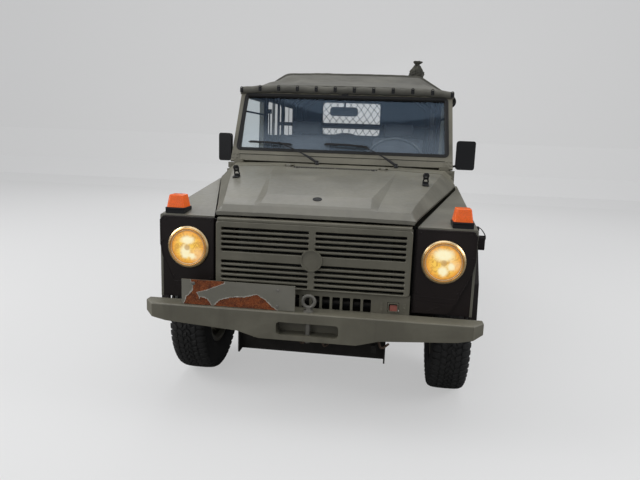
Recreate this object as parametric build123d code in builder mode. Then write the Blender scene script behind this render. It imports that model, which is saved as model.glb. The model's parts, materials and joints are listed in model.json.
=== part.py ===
"""Long-wheelbase army 4x4 car with a canvas top, two doors and left-hand drive.

Units are millimetres. The front faces -Y, the vehicle's left side is +X and +Z is up.
The origin is on the ground below the middle of the whole car.
A station is a distance behind the front axle; y_at() turns it into a Y coordinate.
"""

from build123d import *
import math
import os

os.makedirs("parts", exist_ok=True)

# Driving dimensions
WHEELBASE = 2850
TRACK = 1440
FRONT_OVERHANG = 700
REAR_BODY_OVERHANG = 710
TYRE_RADIUS = 375
TYRE_WIDTH = 205
RIM_RADIUS = 203
RIM_WIDTH = 150
SPARE_STAND_OFF = 34
DOOR_GAP = 8
PANEL = 12
WALL = 45

BODY_REAR = WHEELBASE + REAR_BODY_OVERHANG
OVERALL_LENGTH = FRONT_OVERHANG + BODY_REAR + SPARE_STAND_OFF + TYRE_WIDTH
FRONT_AXLE_Y = FRONT_OVERHANG - OVERALL_LENGTH / 2
WHEEL_X = TRACK / 2

# Stations and heights of the body
LAMP_PANEL_FRONT = -585
FENDER_FRONT = -566
GRILLE_FRONT = -618
BONNET_FRONT = -588
BONNET_REAR = 350
BONNET_HINGE = (356, 1232)
BONNET_HINGE_X = 300
FENDER_REAR = 470
COWL_REAR = 556
DOOR_FRONT = 505
DOOR_LENGTH = 890
DOOR_REAR = DOOR_FRONT + DOOR_LENGTH
SIDE_FRONT = DOOR_REAR + DOOR_GAP
BODY_X = 762
BELT_Z = 1215
FLOOR_Z = 660
SILL_LOW = 520
SILL_TOP = 567
FENDER_LOW = 590
FENDER_TOP_FRONT = 1012
FENDER_TOP_REAR = 1134
FENDER_X = 775
FENDER_EDGE_R = 9
CORNER_R = 14
RIDGE_Z = (1085, 1110)
RIDGE_DEPTH = 8
ARCH_LIP_X = 815

# Windscreen plane, from its lower edge to its upper edge
SCREEN_BASE_S = 566
SCREEN_BASE_Z = 1242
SCREEN_TOP_S = 776
SCREEN_TOP_Z = 1722
SCREEN_BASE_X = 748
SCREEN_TOP_X = 730
SCREEN_DEPTH = 34
SCREEN_HINGE_X = (694, 746)
SCREEN_RAKE = math.atan2(SCREEN_TOP_S - SCREEN_BASE_S, SCREEN_TOP_Z - SCREEN_BASE_Z)
SCREEN_HEIGHT = math.hypot(SCREEN_TOP_S - SCREEN_BASE_S, SCREEN_TOP_Z - SCREEN_BASE_Z)

# Running gear
RAIL_X = 375
RAIL_WIDTH = 60
RAIL_LOW = 510
RAIL_TOP = 630
GEARBOX_LOW = 500
KINGPIN_X = 620
KINGPIN_R = 16
AXLE_TUBE_R = 42
STEER_ARM = 150
PIN_CLEARANCE = 0.4
SEAT_GAP = 0.3
RIM_DISC = 40
HUB_FACE = WHEEL_X + RIM_DISC - SEAT_GAP


def y_at(station):
    """Y of a station, a distance behind the front axle."""
    return FRONT_AXLE_Y + station


def across(x):
    """Plane facing +X at x: its first axis is Y and its second is Z."""
    return Plane.YZ.offset(x)


def facing(station):
    """Plane facing forward at a station: its first axis is X and its second is Z."""
    return Plane.XZ.offset(-y_at(station))


def level(z):
    """Plane facing up at height z."""
    return Plane.XY.offset(z)


def side_points(points):
    """Points given as station and height, as plane points on across()."""
    return [(y_at(s), z) for s, z in points]


def plan_points(points):
    """Points given as x and station, as plane points on level()."""
    return [(x, y_at(s)) for x, s in points]


def mirrored(points):
    """A half outline of x, height points from outside to inside, closed by its mirror image."""
    return points + [(-x, z) for x, z in reversed(points)]


def save(part, label):
    """Name a finished piece and write it as one STEP file."""
    part.label = label
    export_step(part, f"parts/{label}.step")


def slab(x_range, s_range, z_range):
    """A plain rectangular solid between two x, two stations and two heights."""
    return Pos(
        sum(x_range) / 2, y_at(sum(s_range) / 2), sum(z_range) / 2
    ) * Box(
        x_range[1] - x_range[0], s_range[1] - s_range[0], z_range[1] - z_range[0], mode=Mode.PRIVATE)


# Chassis: two box rails, tubes across, body outriggers and the bumper horns
CROSS_TUBES = ((-430, 560), (1450, 560), (2250, 560), (3420, 570))
OUTRIGGERS = (700, 1380, 2150, 3400)
CROSS_TUBE_R = 35
RAIL_FRONT = -585
RAIL_REAR = BODY_REAR - 90
BUMPER_REAR = -605
HOOK_X = 318
HOOK_S = -575
HOOK_WIDE = 24
HOOK_LOW = 392
HOOK_BEND = 22

with BuildPart() as chassis_frame:
    for side in (-1, 1):
        add(slab(
            sorted((side * (RAIL_X - RAIL_WIDTH / 2), side * (RAIL_X + RAIL_WIDTH / 2))),
            (RAIL_FRONT, RAIL_REAR), (RAIL_LOW, RAIL_TOP)))
        for station in OUTRIGGERS:
            add(slab(
                sorted((side * RAIL_X, side * (BODY_X - WALL - 41))),
                (station - 25, station + 25), (RAIL_TOP - 50, FLOOR_Z)))
    for station, height in CROSS_TUBES:
        with BuildSketch(across(-RAIL_X)):
            with Locations((y_at(station), height)):
                Circle(CROSS_TUBE_R)
        extrude(amount=2 * RAIL_X)
    add(slab((-RAIL_X, RAIL_X), (RAIL_FRONT, RAIL_FRONT + 120), (RAIL_TOP - PANEL, RAIL_TOP)))
    # Removable cross-member below the gearbox
    rail_out = RAIL_X + RAIL_WIDTH / 2
    mount_s = (540, 600)
    add(slab((-rail_out, rail_out), mount_s, (GEARBOX_LOW - 12, GEARBOX_LOW - 0.3)))
    for side in (-1, 1):
        add(slab(sorted((side * (rail_out - RAIL_WIDTH), side * rail_out)), mount_s, (GEARBOX_LOW - 12, RAIL_LOW)))
    # Forged towing hook on a foot under the left rail's front end
    add(slab((HOOK_X - HOOK_WIDE / 2, RAIL_X - 10), (HOOK_S - 24, HOOK_S + 12), (RAIL_LOW - 10, RAIL_LOW)))
    with BuildSketch(across(HOOK_X - HOOK_WIDE / 2)):
        with BuildLine():
            shank = Line((y_at(HOOK_S), RAIL_LOW - 2), (y_at(HOOK_S), HOOK_LOW + HOOK_BEND))
            bend = ThreePointArc(shank @ 1, (y_at(HOOK_S - HOOK_BEND), HOOK_LOW),
                                 (y_at(HOOK_S - 2 * HOOK_BEND), HOOK_LOW + HOOK_BEND))
            Line(bend @ 1, (y_at(HOOK_S - 2 * HOOK_BEND - 4), HOOK_LOW + HOOK_BEND + 20))
        trace(line_width=15)
    extrude(amount=HOOK_WIDE)
save(chassis_frame.part, "chassis_frame")

# Skid plate under the front cross tube, folded, with two lightening slots
with BuildPart() as skid_plate:
    with BuildSketch(across(-RAIL_X)):
        with BuildLine():
            Polyline(side_points([
                (-560, 500), (-470, 305), (-330, 305), (-330, 313), (-465, 313), (-553, 504)]),
                close=True)
        make_face()
    extrude(amount=2 * RAIL_X)
    for side in (-1, 1):
        with BuildSketch(level(300)):
            with Locations((side * 270, y_at(-400))):
                SlotOverall(150, 50)
        extrude(amount=20, mode=Mode.SUBTRACT)
        add(slab(sorted((side * (RAIL_X - 8), side * RAIL_X)), (-550, -340), (313, RAIL_LOW)))
save(skid_plate.part, "skid_plate")

# Axles: tube, offset differential and, in front, balls that carry the knuckles
FRONT_DIFF_X = 230
REAR_DIFF_X = 0
DIFF_R = 125
BALL_R = 76


def axle_body(station, diff_x, half_length):
    """Axle tube with its round differential housing and cover, as one solid."""
    with BuildPart() as axle:
        with BuildSketch(across(-half_length)):
            with Locations((y_at(station), TYRE_RADIUS)):
                Circle(AXLE_TUBE_R)
        extrude(amount=2 * half_length)
        with BuildSketch(Plane(origin=(diff_x, y_at(station), TYRE_RADIUS), z_dir=(0, 0, 1))):
            with BuildLine():
                Polyline([(0, -70), (90, -70), (DIFF_R, -40), (DIFF_R, 40), (90, 70), (0, 70)], close=True)
            make_face()
        revolve(axis=Axis((diff_x, y_at(station), TYRE_RADIUS), (0, 1, 0)))
    return axle.part


with BuildPart() as front_axle:
    add(axle_body(0, FRONT_DIFF_X, KINGPIN_X - BALL_R / 2))
    for side in (-1, 1):
        with Locations((side * KINGPIN_X, y_at(0), TYRE_RADIUS)):
            Sphere(BALL_R)
            Cylinder(KINGPIN_R + PIN_CLEARANCE, 2 * BALL_R + 10, mode=Mode.SUBTRACT)
save(front_axle.part, "front_axle")

DRUM_R = 150
with BuildPart() as rear_axle:
    add(axle_body(WHEELBASE, REAR_DIFF_X, WHEEL_X - 80))
    for side in (-1, 1):
        with BuildSketch(across(side * (WHEEL_X - 66))):
            with Locations((y_at(WHEELBASE), TYRE_RADIUS)):
                Circle(DRUM_R)
        extrude(amount=-side * 60)
        with BuildSketch(across(side * (WHEEL_X - 66))):
            with Locations((y_at(WHEELBASE), TYRE_RADIUS)):
                Circle(45)
        extrude(amount=side * (HUB_FACE - WHEEL_X + 66))
save(rear_axle.part, "rear_axle")

# Springs and dampers stand between the axles and the frame, with the arms that locate the axles
ARM_R = 20
ARMS = ((0, 1, 700), (WHEELBASE, -1, 760))
ARM_X = 385
SPRING_X = 520
SPRING_R = 52
SPRING_COILS = 6
COIL_WIRE = 14
DAMPER_R = 22
DAMPER_X = 480
SPRING_LOW = TYRE_RADIUS + AXLE_TUBE_R
SPRING_TOP = RAIL_TOP - 10
with BuildPart() as suspension:
    for station in (0, WHEELBASE):
        for side in (-1, 1):
            foot = (side * (SPRING_X - 20), y_at(station))
            with BuildSketch(level(SPRING_LOW + 0.3)):
                with Locations(foot):
                    Circle(SPRING_R)
            extrude(amount=10)
            with BuildSketch(level(SPRING_LOW + 1)):
                with Locations(foot):
                    Circle(SPRING_R - COIL_WIRE)
            extrude(amount=SPRING_TOP - SPRING_LOW - 1)
            pitch = (SPRING_TOP - SPRING_LOW - 20) / SPRING_COILS
            for turn in range(SPRING_COILS):
                with BuildSketch(level(SPRING_LOW + 14 + turn * pitch)):
                    with Locations(foot):
                        Circle(SPRING_R)
                extrude(amount=COIL_WIRE)
            add(slab(sorted((side * (RAIL_X + RAIL_WIDTH / 2 + SEAT_GAP), foot[0] + side * SPRING_R)),
                     (station - SPRING_R, station + SPRING_R + 2 * DAMPER_R), (SPRING_TOP - 6, SPRING_TOP + 6)))
            # Damper behind the spring: body, rod and the eye on the axle tube
            eye = Vector(side * DAMPER_X, y_at(station + AXLE_TUBE_R + 14), TYRE_RADIUS)
            top = Vector(side * DAMPER_X, y_at(station + SPRING_R + DAMPER_R), SPRING_TOP)
            for from_part, to_part, radius in ((0.06, 0.62, DAMPER_R), (0.0, 1.0, DAMPER_R / 2)):
                with BuildSketch(Plane(origin=eye + (top - eye) * from_part, z_dir=top - eye)):
                    Circle(radius)
                extrude(amount=(top - eye).length * (to_part - from_part))
            with BuildSketch(across(side * DAMPER_X - DAMPER_R)):
                with Locations((eye.Y, eye.Z)):
                    Circle(DAMPER_R - 4)
            extrude(amount=2 * DAMPER_R)

    # Trailing and leading arms tie the axles to the frame
    for station, direction, reach in ARMS:
        for side in (-1, 1):
            near = Vector(side * ARM_X, y_at(station + direction * 20), TYRE_RADIUS)
            far = Vector(side * ARM_X, y_at(station + direction * reach), RAIL_LOW - 30)
            with BuildSketch(Plane(origin=near, z_dir=far - near)):
                Circle(ARM_R)
            extrude(amount=(far - near).length)
            add(slab(sorted((side * (ARM_X - 15), side * (ARM_X + 15))),
                     (station + direction * reach - 30, station + direction * reach + 30),
                     (RAIL_LOW - 52, RAIL_LOW - 0.3)))
        with BuildSketch(across(-2 * ARM_X)):
            with Locations((y_at(station), TYRE_RADIUS)):
                Circle(AXLE_TUBE_R + 0.3)
        extrude(amount=4 * ARM_X, mode=Mode.SUBTRACT)
save(suspension.part, "suspension")

# Gearbox, transfer case and the two propeller shafts
TRANSFER_S = 1150
SHAFT_R = 28
SHAFT_END = 70.3
with BuildPart() as driveline:
    add(slab((-110, 110), (341, 820), (GEARBOX_LOW, 640)))
    add(slab((-60, FRONT_DIFF_X + 70), (TRANSFER_S - 170, TRANSFER_S + 150), (430, 625)))
    add(slab((-60, 60), (800, TRANSFER_S - 150), (480, 600)))
    for x, from_s, to_s, flange in (
            (FRONT_DIFF_X, TRANSFER_S - 160, SHAFT_END, 1), (REAR_DIFF_X, TRANSFER_S + 140, WHEELBASE - SHAFT_END, -1)):
        start = Vector(x, y_at(from_s), 480)
        end = Vector(x, y_at(to_s + flange * 12), TYRE_RADIUS)
        with BuildSketch(Plane(origin=start, z_dir=end - start)):
            Circle(SHAFT_R)
        extrude(amount=(end - start).length)
        with BuildSketch(Plane(origin=(x, y_at(to_s), TYRE_RADIUS), z_dir=(0, flange, 0))):
            Circle(44)
        extrude(amount=16)
save(driveline.part, "driveline")

# Engine, as one plain block with its sump
with BuildPart() as engine_block:
    add(slab((-190, 190), (-330, 340), (600, 980)))
    add(slab((-120, 120), (-300, 300), (520, 610)))
save(engine_block.part, "engine_block")

# Radiator behind the grille, standing on the front cross plate
with BuildPart() as radiator:
    add(slab((-380, 380), (-530, -480), (RAIL_TOP, 985)))
    for x_range in ((-380, -350), (350, 380)):
        add(slab(x_range, (-540, -470), (RAIL_TOP, 995)))
save(radiator.part, "radiator")

# Exhaust pipe with its muffler, leaving ahead of the left rear wheel
PIPE_R = 24
PIPE_POINTS = [(-150, 150, 599.7), (-150, 150, 440), (-150, 1820, 440), (-420, 1960, 440), (-640, 2000, 440)]
with BuildPart() as exhaust:
    with BuildLine() as pipe_path:
        FilletPolyline([(x, y_at(s), z) for x, s, z in PIPE_POINTS], radius=70)
    with BuildSketch(Plane(origin=pipe_path.line @ 0, z_dir=pipe_path.line % 0)):
        Circle(PIPE_R)
    sweep(path=pipe_path.line)
    with BuildSketch(facing(1320)):
        with Locations((-150, 440)):
            Ellipse(105, 75)
    extrude(amount=-420)
    add(slab((-RAIL_X + RAIL_WIDTH / 2 + 0.3, -160), (1500, 1530), (RAIL_LOW, RAIL_LOW + 8)))
    add(slab((-200, -160), (1500, 1530), (480, RAIL_LOW + 4)))
save(exhaust.part, "exhaust")

# Fuel tank between the rails behind the rear axle
with BuildPart() as fuel_tank:
    add(slab((-300, 300), (WHEELBASE + 190, WHEELBASE + 520), (RAIL_LOW - 60, RAIL_TOP - 30)))
    fillet(fuel_tank.edges().filter_by(Axis.X), 40)
    rail_in = RAIL_X - RAIL_WIDTH / 2 - SEAT_GAP
    for station in (WHEELBASE + 260, WHEELBASE + 450):
        add(slab((-rail_in, rail_in), (station - 20, station + 20), (RAIL_TOP - 62, RAIL_TOP - 54)))
save(fuel_tank.part, "fuel_tank")

# Floor with rear wheel boxes and sills
REAR_ARCH_HALF = 450
REAR_BOX_TOP = 940
REAR_BOX_IN = 545
SIDE_INNER = BODY_X - WALL
with BuildPart() as floor_tub:
    add(slab((-SIDE_INNER + 5, SIDE_INNER - 5), (488.3, BODY_REAR - WALL - DOOR_GAP), (FLOOR_Z, FLOOR_Z + PANEL)))
    for side in (-1, 1):
        box_x = sorted((side * REAR_BOX_IN, side * SIDE_INNER))
        box_s = (WHEELBASE - REAR_ARCH_HALF, WHEELBASE + REAR_ARCH_HALF)
        add(slab(box_x, box_s, (FLOOR_Z, REAR_BOX_TOP)))
        well_x = sorted((side * (REAR_BOX_IN + PANEL), side * (SIDE_INNER + 1)))
        add(slab(well_x, (box_s[0] + PANEL, box_s[1] - PANEL), (FLOOR_Z - 1, REAR_BOX_TOP - PANEL)),
            mode=Mode.SUBTRACT)
        add(slab(sorted((side * (SIDE_INNER - 40), side * (BODY_X - 6))),
                 (497.3, SIDE_FRONT - 0.3), (SILL_LOW, SILL_TOP)))
        add(slab(sorted((side * (SIDE_INNER - 40), side * (SIDE_INNER - DOOR_GAP))),
                 (497.3, SIDE_FRONT), (SILL_TOP - 1, FLOOR_Z + PANEL)))
save(floor_tub.part, "floor_tub")

# Body sides with the rear arches and the rear corner posts, welded into one shell
ARCH_POINTS = ((-450, SILL_LOW), (-420, 700), (-300, 850), (-150, 905), (150, 905), (300, 850),
               (420, 700), (450, SILL_LOW))
POST_WIDTH = 104
GATE_HALF = BODY_X - POST_WIDTH - DOOR_GAP

# Pin hinges of the doors and the tailgate
HINGE_R = 9
HINGE_PIN_R = 5
HINGE_LENGTH = 50
GATE_HINGE_X = -GATE_HALF - 10
GATE_HINGE_S = BODY_REAR + 12
GATE_HINGE_Z = (FLOOR_Z + 80, BELT_Z - 115)


def arch(station, grow=0.0):
    """Wheel arch outline round an axle station, as side points, grown outwards."""
    points = []
    for s, z in ARCH_POINTS:
        away = math.copysign(grow, s) if z < 900 else 0
        points.append((station + s + away, z + (grow if z > SILL_LOW else -1)))
    return side_points(points)


with BuildPart() as body_sides:
    for side in (-1, 1):
        with BuildSketch(across(side * SIDE_INNER)):
            with BuildLine():
                Polyline(side_points([
                    (SIDE_FRONT, SILL_LOW), (BODY_REAR, SILL_LOW + 40),
                    (BODY_REAR, BELT_Z), (SIDE_FRONT, BELT_Z)]), close=True)
            make_face()
            with BuildLine():
                Polyline(arch(WHEELBASE), close=True)
            make_face(mode=Mode.SUBTRACT)
        extrude(amount=side * WALL)
        # Rolled lip round the rear arch
        with BuildSketch(across(side * (BODY_X - PANEL))):
            with BuildLine():
                Polyline(arch(WHEELBASE, 26), close=True)
            make_face()
            with BuildLine():
                Polyline(arch(WHEELBASE), close=True)
            make_face(mode=Mode.SUBTRACT)
        extrude(amount=side * (ARCH_LIP_X - BODY_X + PANEL))
        # Pressed ridge along the side, stopped short of the rounded corner
        add(slab(sorted((side * (BODY_X - 1), side * (BODY_X + RIDGE_DEPTH))),
                 (SIDE_FRONT, BODY_REAR - 2 * CORNER_R), RIDGE_Z))
        add(slab(sorted((side * (BODY_X - POST_WIDTH), side * BODY_X)),
                 (BODY_REAR - WALL, BODY_REAR), (SILL_LOW + 60, BELT_Z)))
    add(slab((-BODY_X, BODY_X), (BODY_REAR - WALL, BODY_REAR), (SILL_LOW + 60, FLOOR_Z - DOOR_GAP)))
    corners = body_sides.edges().filter_by(Axis.Z).filter_by(
        lambda edge: abs(abs(edge.center().X) - BODY_X) < 0.1 and abs(edge.center().Y - y_at(BODY_REAR)) < 0.1)
    fillet(corners, CORNER_R)
    # Tailgate hinges: knuckles on the right post above and below each barrel, with the pin
    for z in GATE_HINGE_Z:
        for low, high in ((z - 16, z - SEAT_GAP), (z + HINGE_LENGTH + SEAT_GAP, z + HINGE_LENGTH + 16)):
            with BuildSketch(level(low)):
                with Locations((GATE_HINGE_X, y_at(GATE_HINGE_S))):
                    Circle(HINGE_R)
            extrude(amount=high - low)
            add(slab((GATE_HINGE_X - 12, GATE_HINGE_X), (BODY_REAR - 1, GATE_HINGE_S), (low, high)))
        with BuildSketch(level(z - 16)):
            with Locations((GATE_HINGE_X, y_at(GATE_HINGE_S))):
                Circle(HINGE_PIN_R)
        extrude(amount=HINGE_LENGTH + 32)
save(body_sides.part, "body_sides")

# Cowl, firewall and door pillars
PILLAR_REAR = DOOR_FRONT - DOOR_GAP
HINGE_X = BODY_X + 10
HINGE_S = DOOR_FRONT - 7
HINGE_Z = (680, 1050)
with BuildPart() as cowl:
    cowl_front = [(745, 1140), (662, 1212), (390, 1224)]
    cowl_rear = [(748, 1188), (700, 1226), (400, 1234)]
    for station, half in ((BONNET_REAR + DOOR_GAP, cowl_front), (COWL_REAR, cowl_rear)):
        inside = [(x - 12, z - 18) for x, z in half]
        with BuildSketch(facing(station)):
            with BuildLine():
                Polyline(half + [(-x, z) for x, z in reversed(half)]
                         + [(-x, z) for x, z in inside] + list(reversed(inside)), close=True)
            make_face()
    loft(ruled=True)
    add(slab((-SIDE_INNER, SIDE_INNER), (478, 488), (FLOOR_Z, 1196)))
    add(slab((-600, 600), (478, 488), (1190, 1215)))
    for side in (-1, 1):
        add(slab(sorted((side * (SIDE_INNER - 4), side * BODY_X)), (FENDER_REAR + SEAT_GAP, PILLAR_REAR), (SILL_LOW, 1120)))
        add(slab(sorted((side * (SIDE_INNER - 4), side * 748)), (478, PILLAR_REAR), (1100, 1185)))
        # Lower leaf of the windscreen's folding hinge
        add(slab(sorted((side * SCREEN_HINGE_X[0], side * (BODY_X - 4))), (COWL_REAR - 18, COWL_REAR - 11), (1190, 1226)))
        # Lugs under the bonnet's rear edge, and the outer knuckles and pin of each bonnet hinge
        add(slab(sorted((side * 280, side * 320)), (BONNET_REAR - 10, 479), (1190, 1203.6)))
        for x in (BONNET_HINGE_X - 22, BONNET_HINGE_X + 22):
            with BuildSketch(across(side * x - 7)):
                with Locations((y_at(BONNET_HINGE[0]), BONNET_HINGE[1])):
                    Circle(6)
            extrude(amount=14)
            add(slab(sorted((side * (x - 7), side * (x + 7))), (BONNET_HINGE[0], BONNET_REAR + 40),
                     (1220, BONNET_HINGE[1] + 4)))
        with BuildSketch(across(side * BONNET_HINGE_X - 29)):
            with Locations((y_at(BONNET_HINGE[0]), BONNET_HINGE[1])):
                Circle(3)
        extrude(amount=58)
        # Door hinges: knuckles on the pillar above and below each barrel, with the pin
        for z in HINGE_Z:
            for low, high in ((z - 16, z - SEAT_GAP), (z + HINGE_LENGTH + SEAT_GAP, z + HINGE_LENGTH + 16)):
                with BuildSketch(level(low)):
                    with Locations((side * HINGE_X, y_at(HINGE_S))):
                        Circle(HINGE_R)
                extrude(amount=high - low)
                add(slab(sorted((side * (BODY_X - 1), side * HINGE_X)), (HINGE_S - HINGE_R, PILLAR_REAR), (low, high)))
            with BuildSketch(level(z - 16)):
                with Locations((side * HINGE_X, y_at(HINGE_S))):
                    Circle(HINGE_PIN_R)
            extrude(amount=HINGE_LENGTH + 32)
save(cowl.part, "cowl")

# Fender skins: sloped top plate, outer skin with the arch, and the joint to the pillar
BONNET_LOW_FRONT = 487
BONNET_LOW_REAR = 745
FENDER_SLOPE = (FENDER_TOP_REAR - FENDER_TOP_FRONT) / (FENDER_REAR - FENDER_FRONT)


def fender_top(station):
    """Height of the fender's top surface at a station."""
    return FENDER_TOP_FRONT + FENDER_SLOPE * (station - FENDER_FRONT)


with BuildPart() as front_fenders:
    for side in (-1, 1):
        with BuildSketch(across(side * (FENDER_X - PANEL))):
            with BuildLine():
                Polyline(side_points([
                    (FENDER_FRONT, FENDER_LOW), (FENDER_REAR, FENDER_LOW),
                    (FENDER_REAR, FENDER_TOP_REAR), (FENDER_FRONT, FENDER_TOP_FRONT)]), close=True)
            make_face()
            with BuildLine():
                Polyline(arch(0), close=True)
            make_face(mode=Mode.SUBTRACT)
        extrude(amount=side * PANEL)
        with BuildSketch(across(side * 430)):
            with BuildLine():
                Polyline(side_points([
                    (FENDER_FRONT, FENDER_TOP_FRONT - PANEL), (FENDER_REAR, FENDER_TOP_REAR - PANEL),
                    (FENDER_REAR, FENDER_TOP_REAR), (FENDER_FRONT, FENDER_TOP_FRONT)]), close=True)
            make_face()
        extrude(amount=side * (FENDER_X - 430 - 1))
        add(slab(sorted((side * (SIDE_INNER - 2), side * (FENDER_X - PANEL / 2))), (FENDER_REAR - 4, FENDER_REAR),
                 (FENDER_LOW, 1118)))
    with BuildSketch(level(900)):
        with BuildLine():
            Polyline(plan_points([
                (-BONNET_LOW_FRONT - DOOR_GAP, FENDER_FRONT - 1), (BONNET_LOW_FRONT + DOOR_GAP, FENDER_FRONT - 1),
                (BONNET_LOW_REAR + DOOR_GAP, BONNET_REAR), (BONNET_LOW_REAR + DOOR_GAP, FENDER_REAR + 1),
                (-BONNET_LOW_REAR - DOOR_GAP, FENDER_REAR + 1), (-BONNET_LOW_REAR - DOOR_GAP, BONNET_REAR)]),
                close=True)
        make_face()
    extrude(amount=300, mode=Mode.SUBTRACT)
    outer_edges = front_fenders.edges().filter_by(
        lambda edge: edge.length > 900 and abs(abs(edge.center().X) - FENDER_X) < 0.1
        and edge.center().Z > FENDER_TOP_FRONT)
    fillet(outer_edges, FENDER_EDGE_R)
save(front_fenders.part, "front_fenders")

# Black wheel arch liners: front plate, inner apron and the lips round the arch
LAMP_X = 622
LAMP_Z = 855
LAMP_HOLE_R = 98
CATCH_S = -350
CATCH_Z = 917
with BuildPart() as arch_liners:
    for side in (-1, 1):
        with BuildSketch(facing(FENDER_FRONT)):
            with BuildLine():
                Polyline([(side * 487, FENDER_LOW + 2), (side * 762, FENDER_LOW + 2),
                          (side * 762, FENDER_TOP_FRONT - PANEL - 1),
                          (side * 487, FENDER_TOP_FRONT - PANEL - 1)], close=True)
            make_face()
            with Locations((side * LAMP_X, LAMP_Z)):
                Circle(LAMP_HOLE_R, mode=Mode.SUBTRACT)
        extrude(amount=-8)
        with BuildSketch(across(side * (FENDER_X - PANEL - SEAT_GAP))):
            with BuildLine():
                Polyline(arch(0, 16), close=True)
            make_face()
            with BuildLine():
                Polyline(arch(0), close=True)
            make_face(mode=Mode.SUBTRACT)
        extrude(amount=-side * 10)
        with BuildSketch(across(side * (FENDER_X + 0.3))):
            with BuildLine():
                Polyline(arch(0, 24), close=True)
            make_face()
            with BuildLine():
                Polyline(arch(0), close=True)
            make_face(mode=Mode.SUBTRACT)
        extrude(amount=side * (ARCH_LIP_X - FENDER_X))
        # Inner apron standing on the rail beside the engine
        with BuildSketch(across(side * (RAIL_X + RAIL_WIDTH / 2 - PANEL))):
            with BuildLine():
                Polyline(side_points([
                    (FENDER_FRONT + 10, RAIL_TOP), (FENDER_REAR, RAIL_TOP),
                    (FENDER_REAR, 1080), (FENDER_FRONT + 10, 985)]), close=True)
            make_face()
        extrude(amount=side * PANEL)
        # Rubber bonnet catch on the fender's side: base plate, neck and an upright grip
        catch_x = FENDER_X + SEAT_GAP
        for shape_x, depth, wide, tall in ((catch_x, 4, 40, 62), (catch_x + 3, 36, 15, 24), (catch_x + 34, 30, 30, 74)):
            with BuildSketch(across(side * shape_x)):
                with Locations((y_at(CATCH_S), CATCH_Z)):
                    RectangleRounded(wide, tall, wide / 2 - 1)
            extrude(amount=side * depth)
save(arch_liners.part, "arch_liners")

# Lamp panels, round lamp bowls with rings, and their lenses
PANEL_OUTLINE = ((493, 1005), (752, 1005), (770, 985), (770, 864), (758, 801), (691, 650),
                 (668, 612), (650, 602), (493, 600))
with BuildPart() as lamp_panels:
    for side in (-1, 1):
        with BuildSketch(facing(LAMP_PANEL_FRONT)):
            with BuildLine():
                Polyline([(side * x, z) for x, z in PANEL_OUTLINE], close=True)
            make_face()
            with Locations((side * LAMP_X, LAMP_Z)):
                Circle(LAMP_HOLE_R, mode=Mode.SUBTRACT)
        extrude(amount=-(FENDER_FRONT - LAMP_PANEL_FRONT))
save(lamp_panels.part, "lamp_panels")

RING_R = 104
with BuildPart() as headlamp_bowls:
    for side in (-1, 1):
        with BuildSketch(Plane(origin=(side * LAMP_X, 0, LAMP_Z), x_dir=(1, 0, 0), z_dir=(0, 0, 1))):
            with BuildLine():
                Polyline([(0, y_at(-480)), (60, y_at(-480)), (92, y_at(-540)), (92, y_at(-585.3)),
                          (RING_R, y_at(-585.3)), (RING_R, y_at(-592)), (98, y_at(-597)),
                          (88, y_at(-597)), (88, y_at(-560)), (0, y_at(-500))], close=True)
            make_face()
        revolve(axis=Axis((side * LAMP_X, 0, LAMP_Z), (0, 1, 0)))
save(headlamp_bowls.part, "headlamp_bowls")

with BuildPart() as headlamp_lenses:
    for side in (-1, 1):
        with BuildSketch(Plane(origin=(side * LAMP_X, 0, LAMP_Z), x_dir=(1, 0, 0), z_dir=(0, 0, 1))):
            with BuildLine():
                Line((0, y_at(-590)), (0, y_at(-607)))
                ThreePointArc((0, y_at(-607)), (46, y_at(-603)), (87.7, y_at(-592)))
                Polyline((87.7, y_at(-592)), (87.7, y_at(-588)), (0, y_at(-590)))
            make_face()
        revolve(axis=Axis((side * LAMP_X, 0, LAMP_Z), (0, 1, 0)))
save(headlamp_lenses.part, "headlamp_lenses")

# Direction indicators on the fenders' front corners
INDICATOR = (655, 752, -555, -448)
INDICATOR_Z = 1043
with BuildPart() as indicator_bases:
    for side in (-1, 1):
        x_low, x_high, s_low, s_high = INDICATOR
        with BuildSketch(across(side * x_low)):
            with BuildLine():
                Polyline(side_points([
                    (s_low, fender_top(s_low)), (s_high, fender_top(s_high)),
                    (s_high, INDICATOR_Z), (s_low, INDICATOR_Z)]), close=True)
            make_face()
        extrude(amount=side * (x_high - x_low))
save(indicator_bases.part, "indicator_bases")

with BuildPart() as indicator_lenses:
    for side in (-1, 1):
        with BuildSketch(level(INDICATOR_Z + SEAT_GAP)):
            with Locations((side * (x_low + x_high) / 2, y_at((s_low + s_high) / 2))):
                RectangleRounded(x_high - x_low - 6, s_high - s_low - 6, 10)
        extrude(amount=62, taper=9)
save(indicator_lenses.part, "indicator_lenses")

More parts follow.
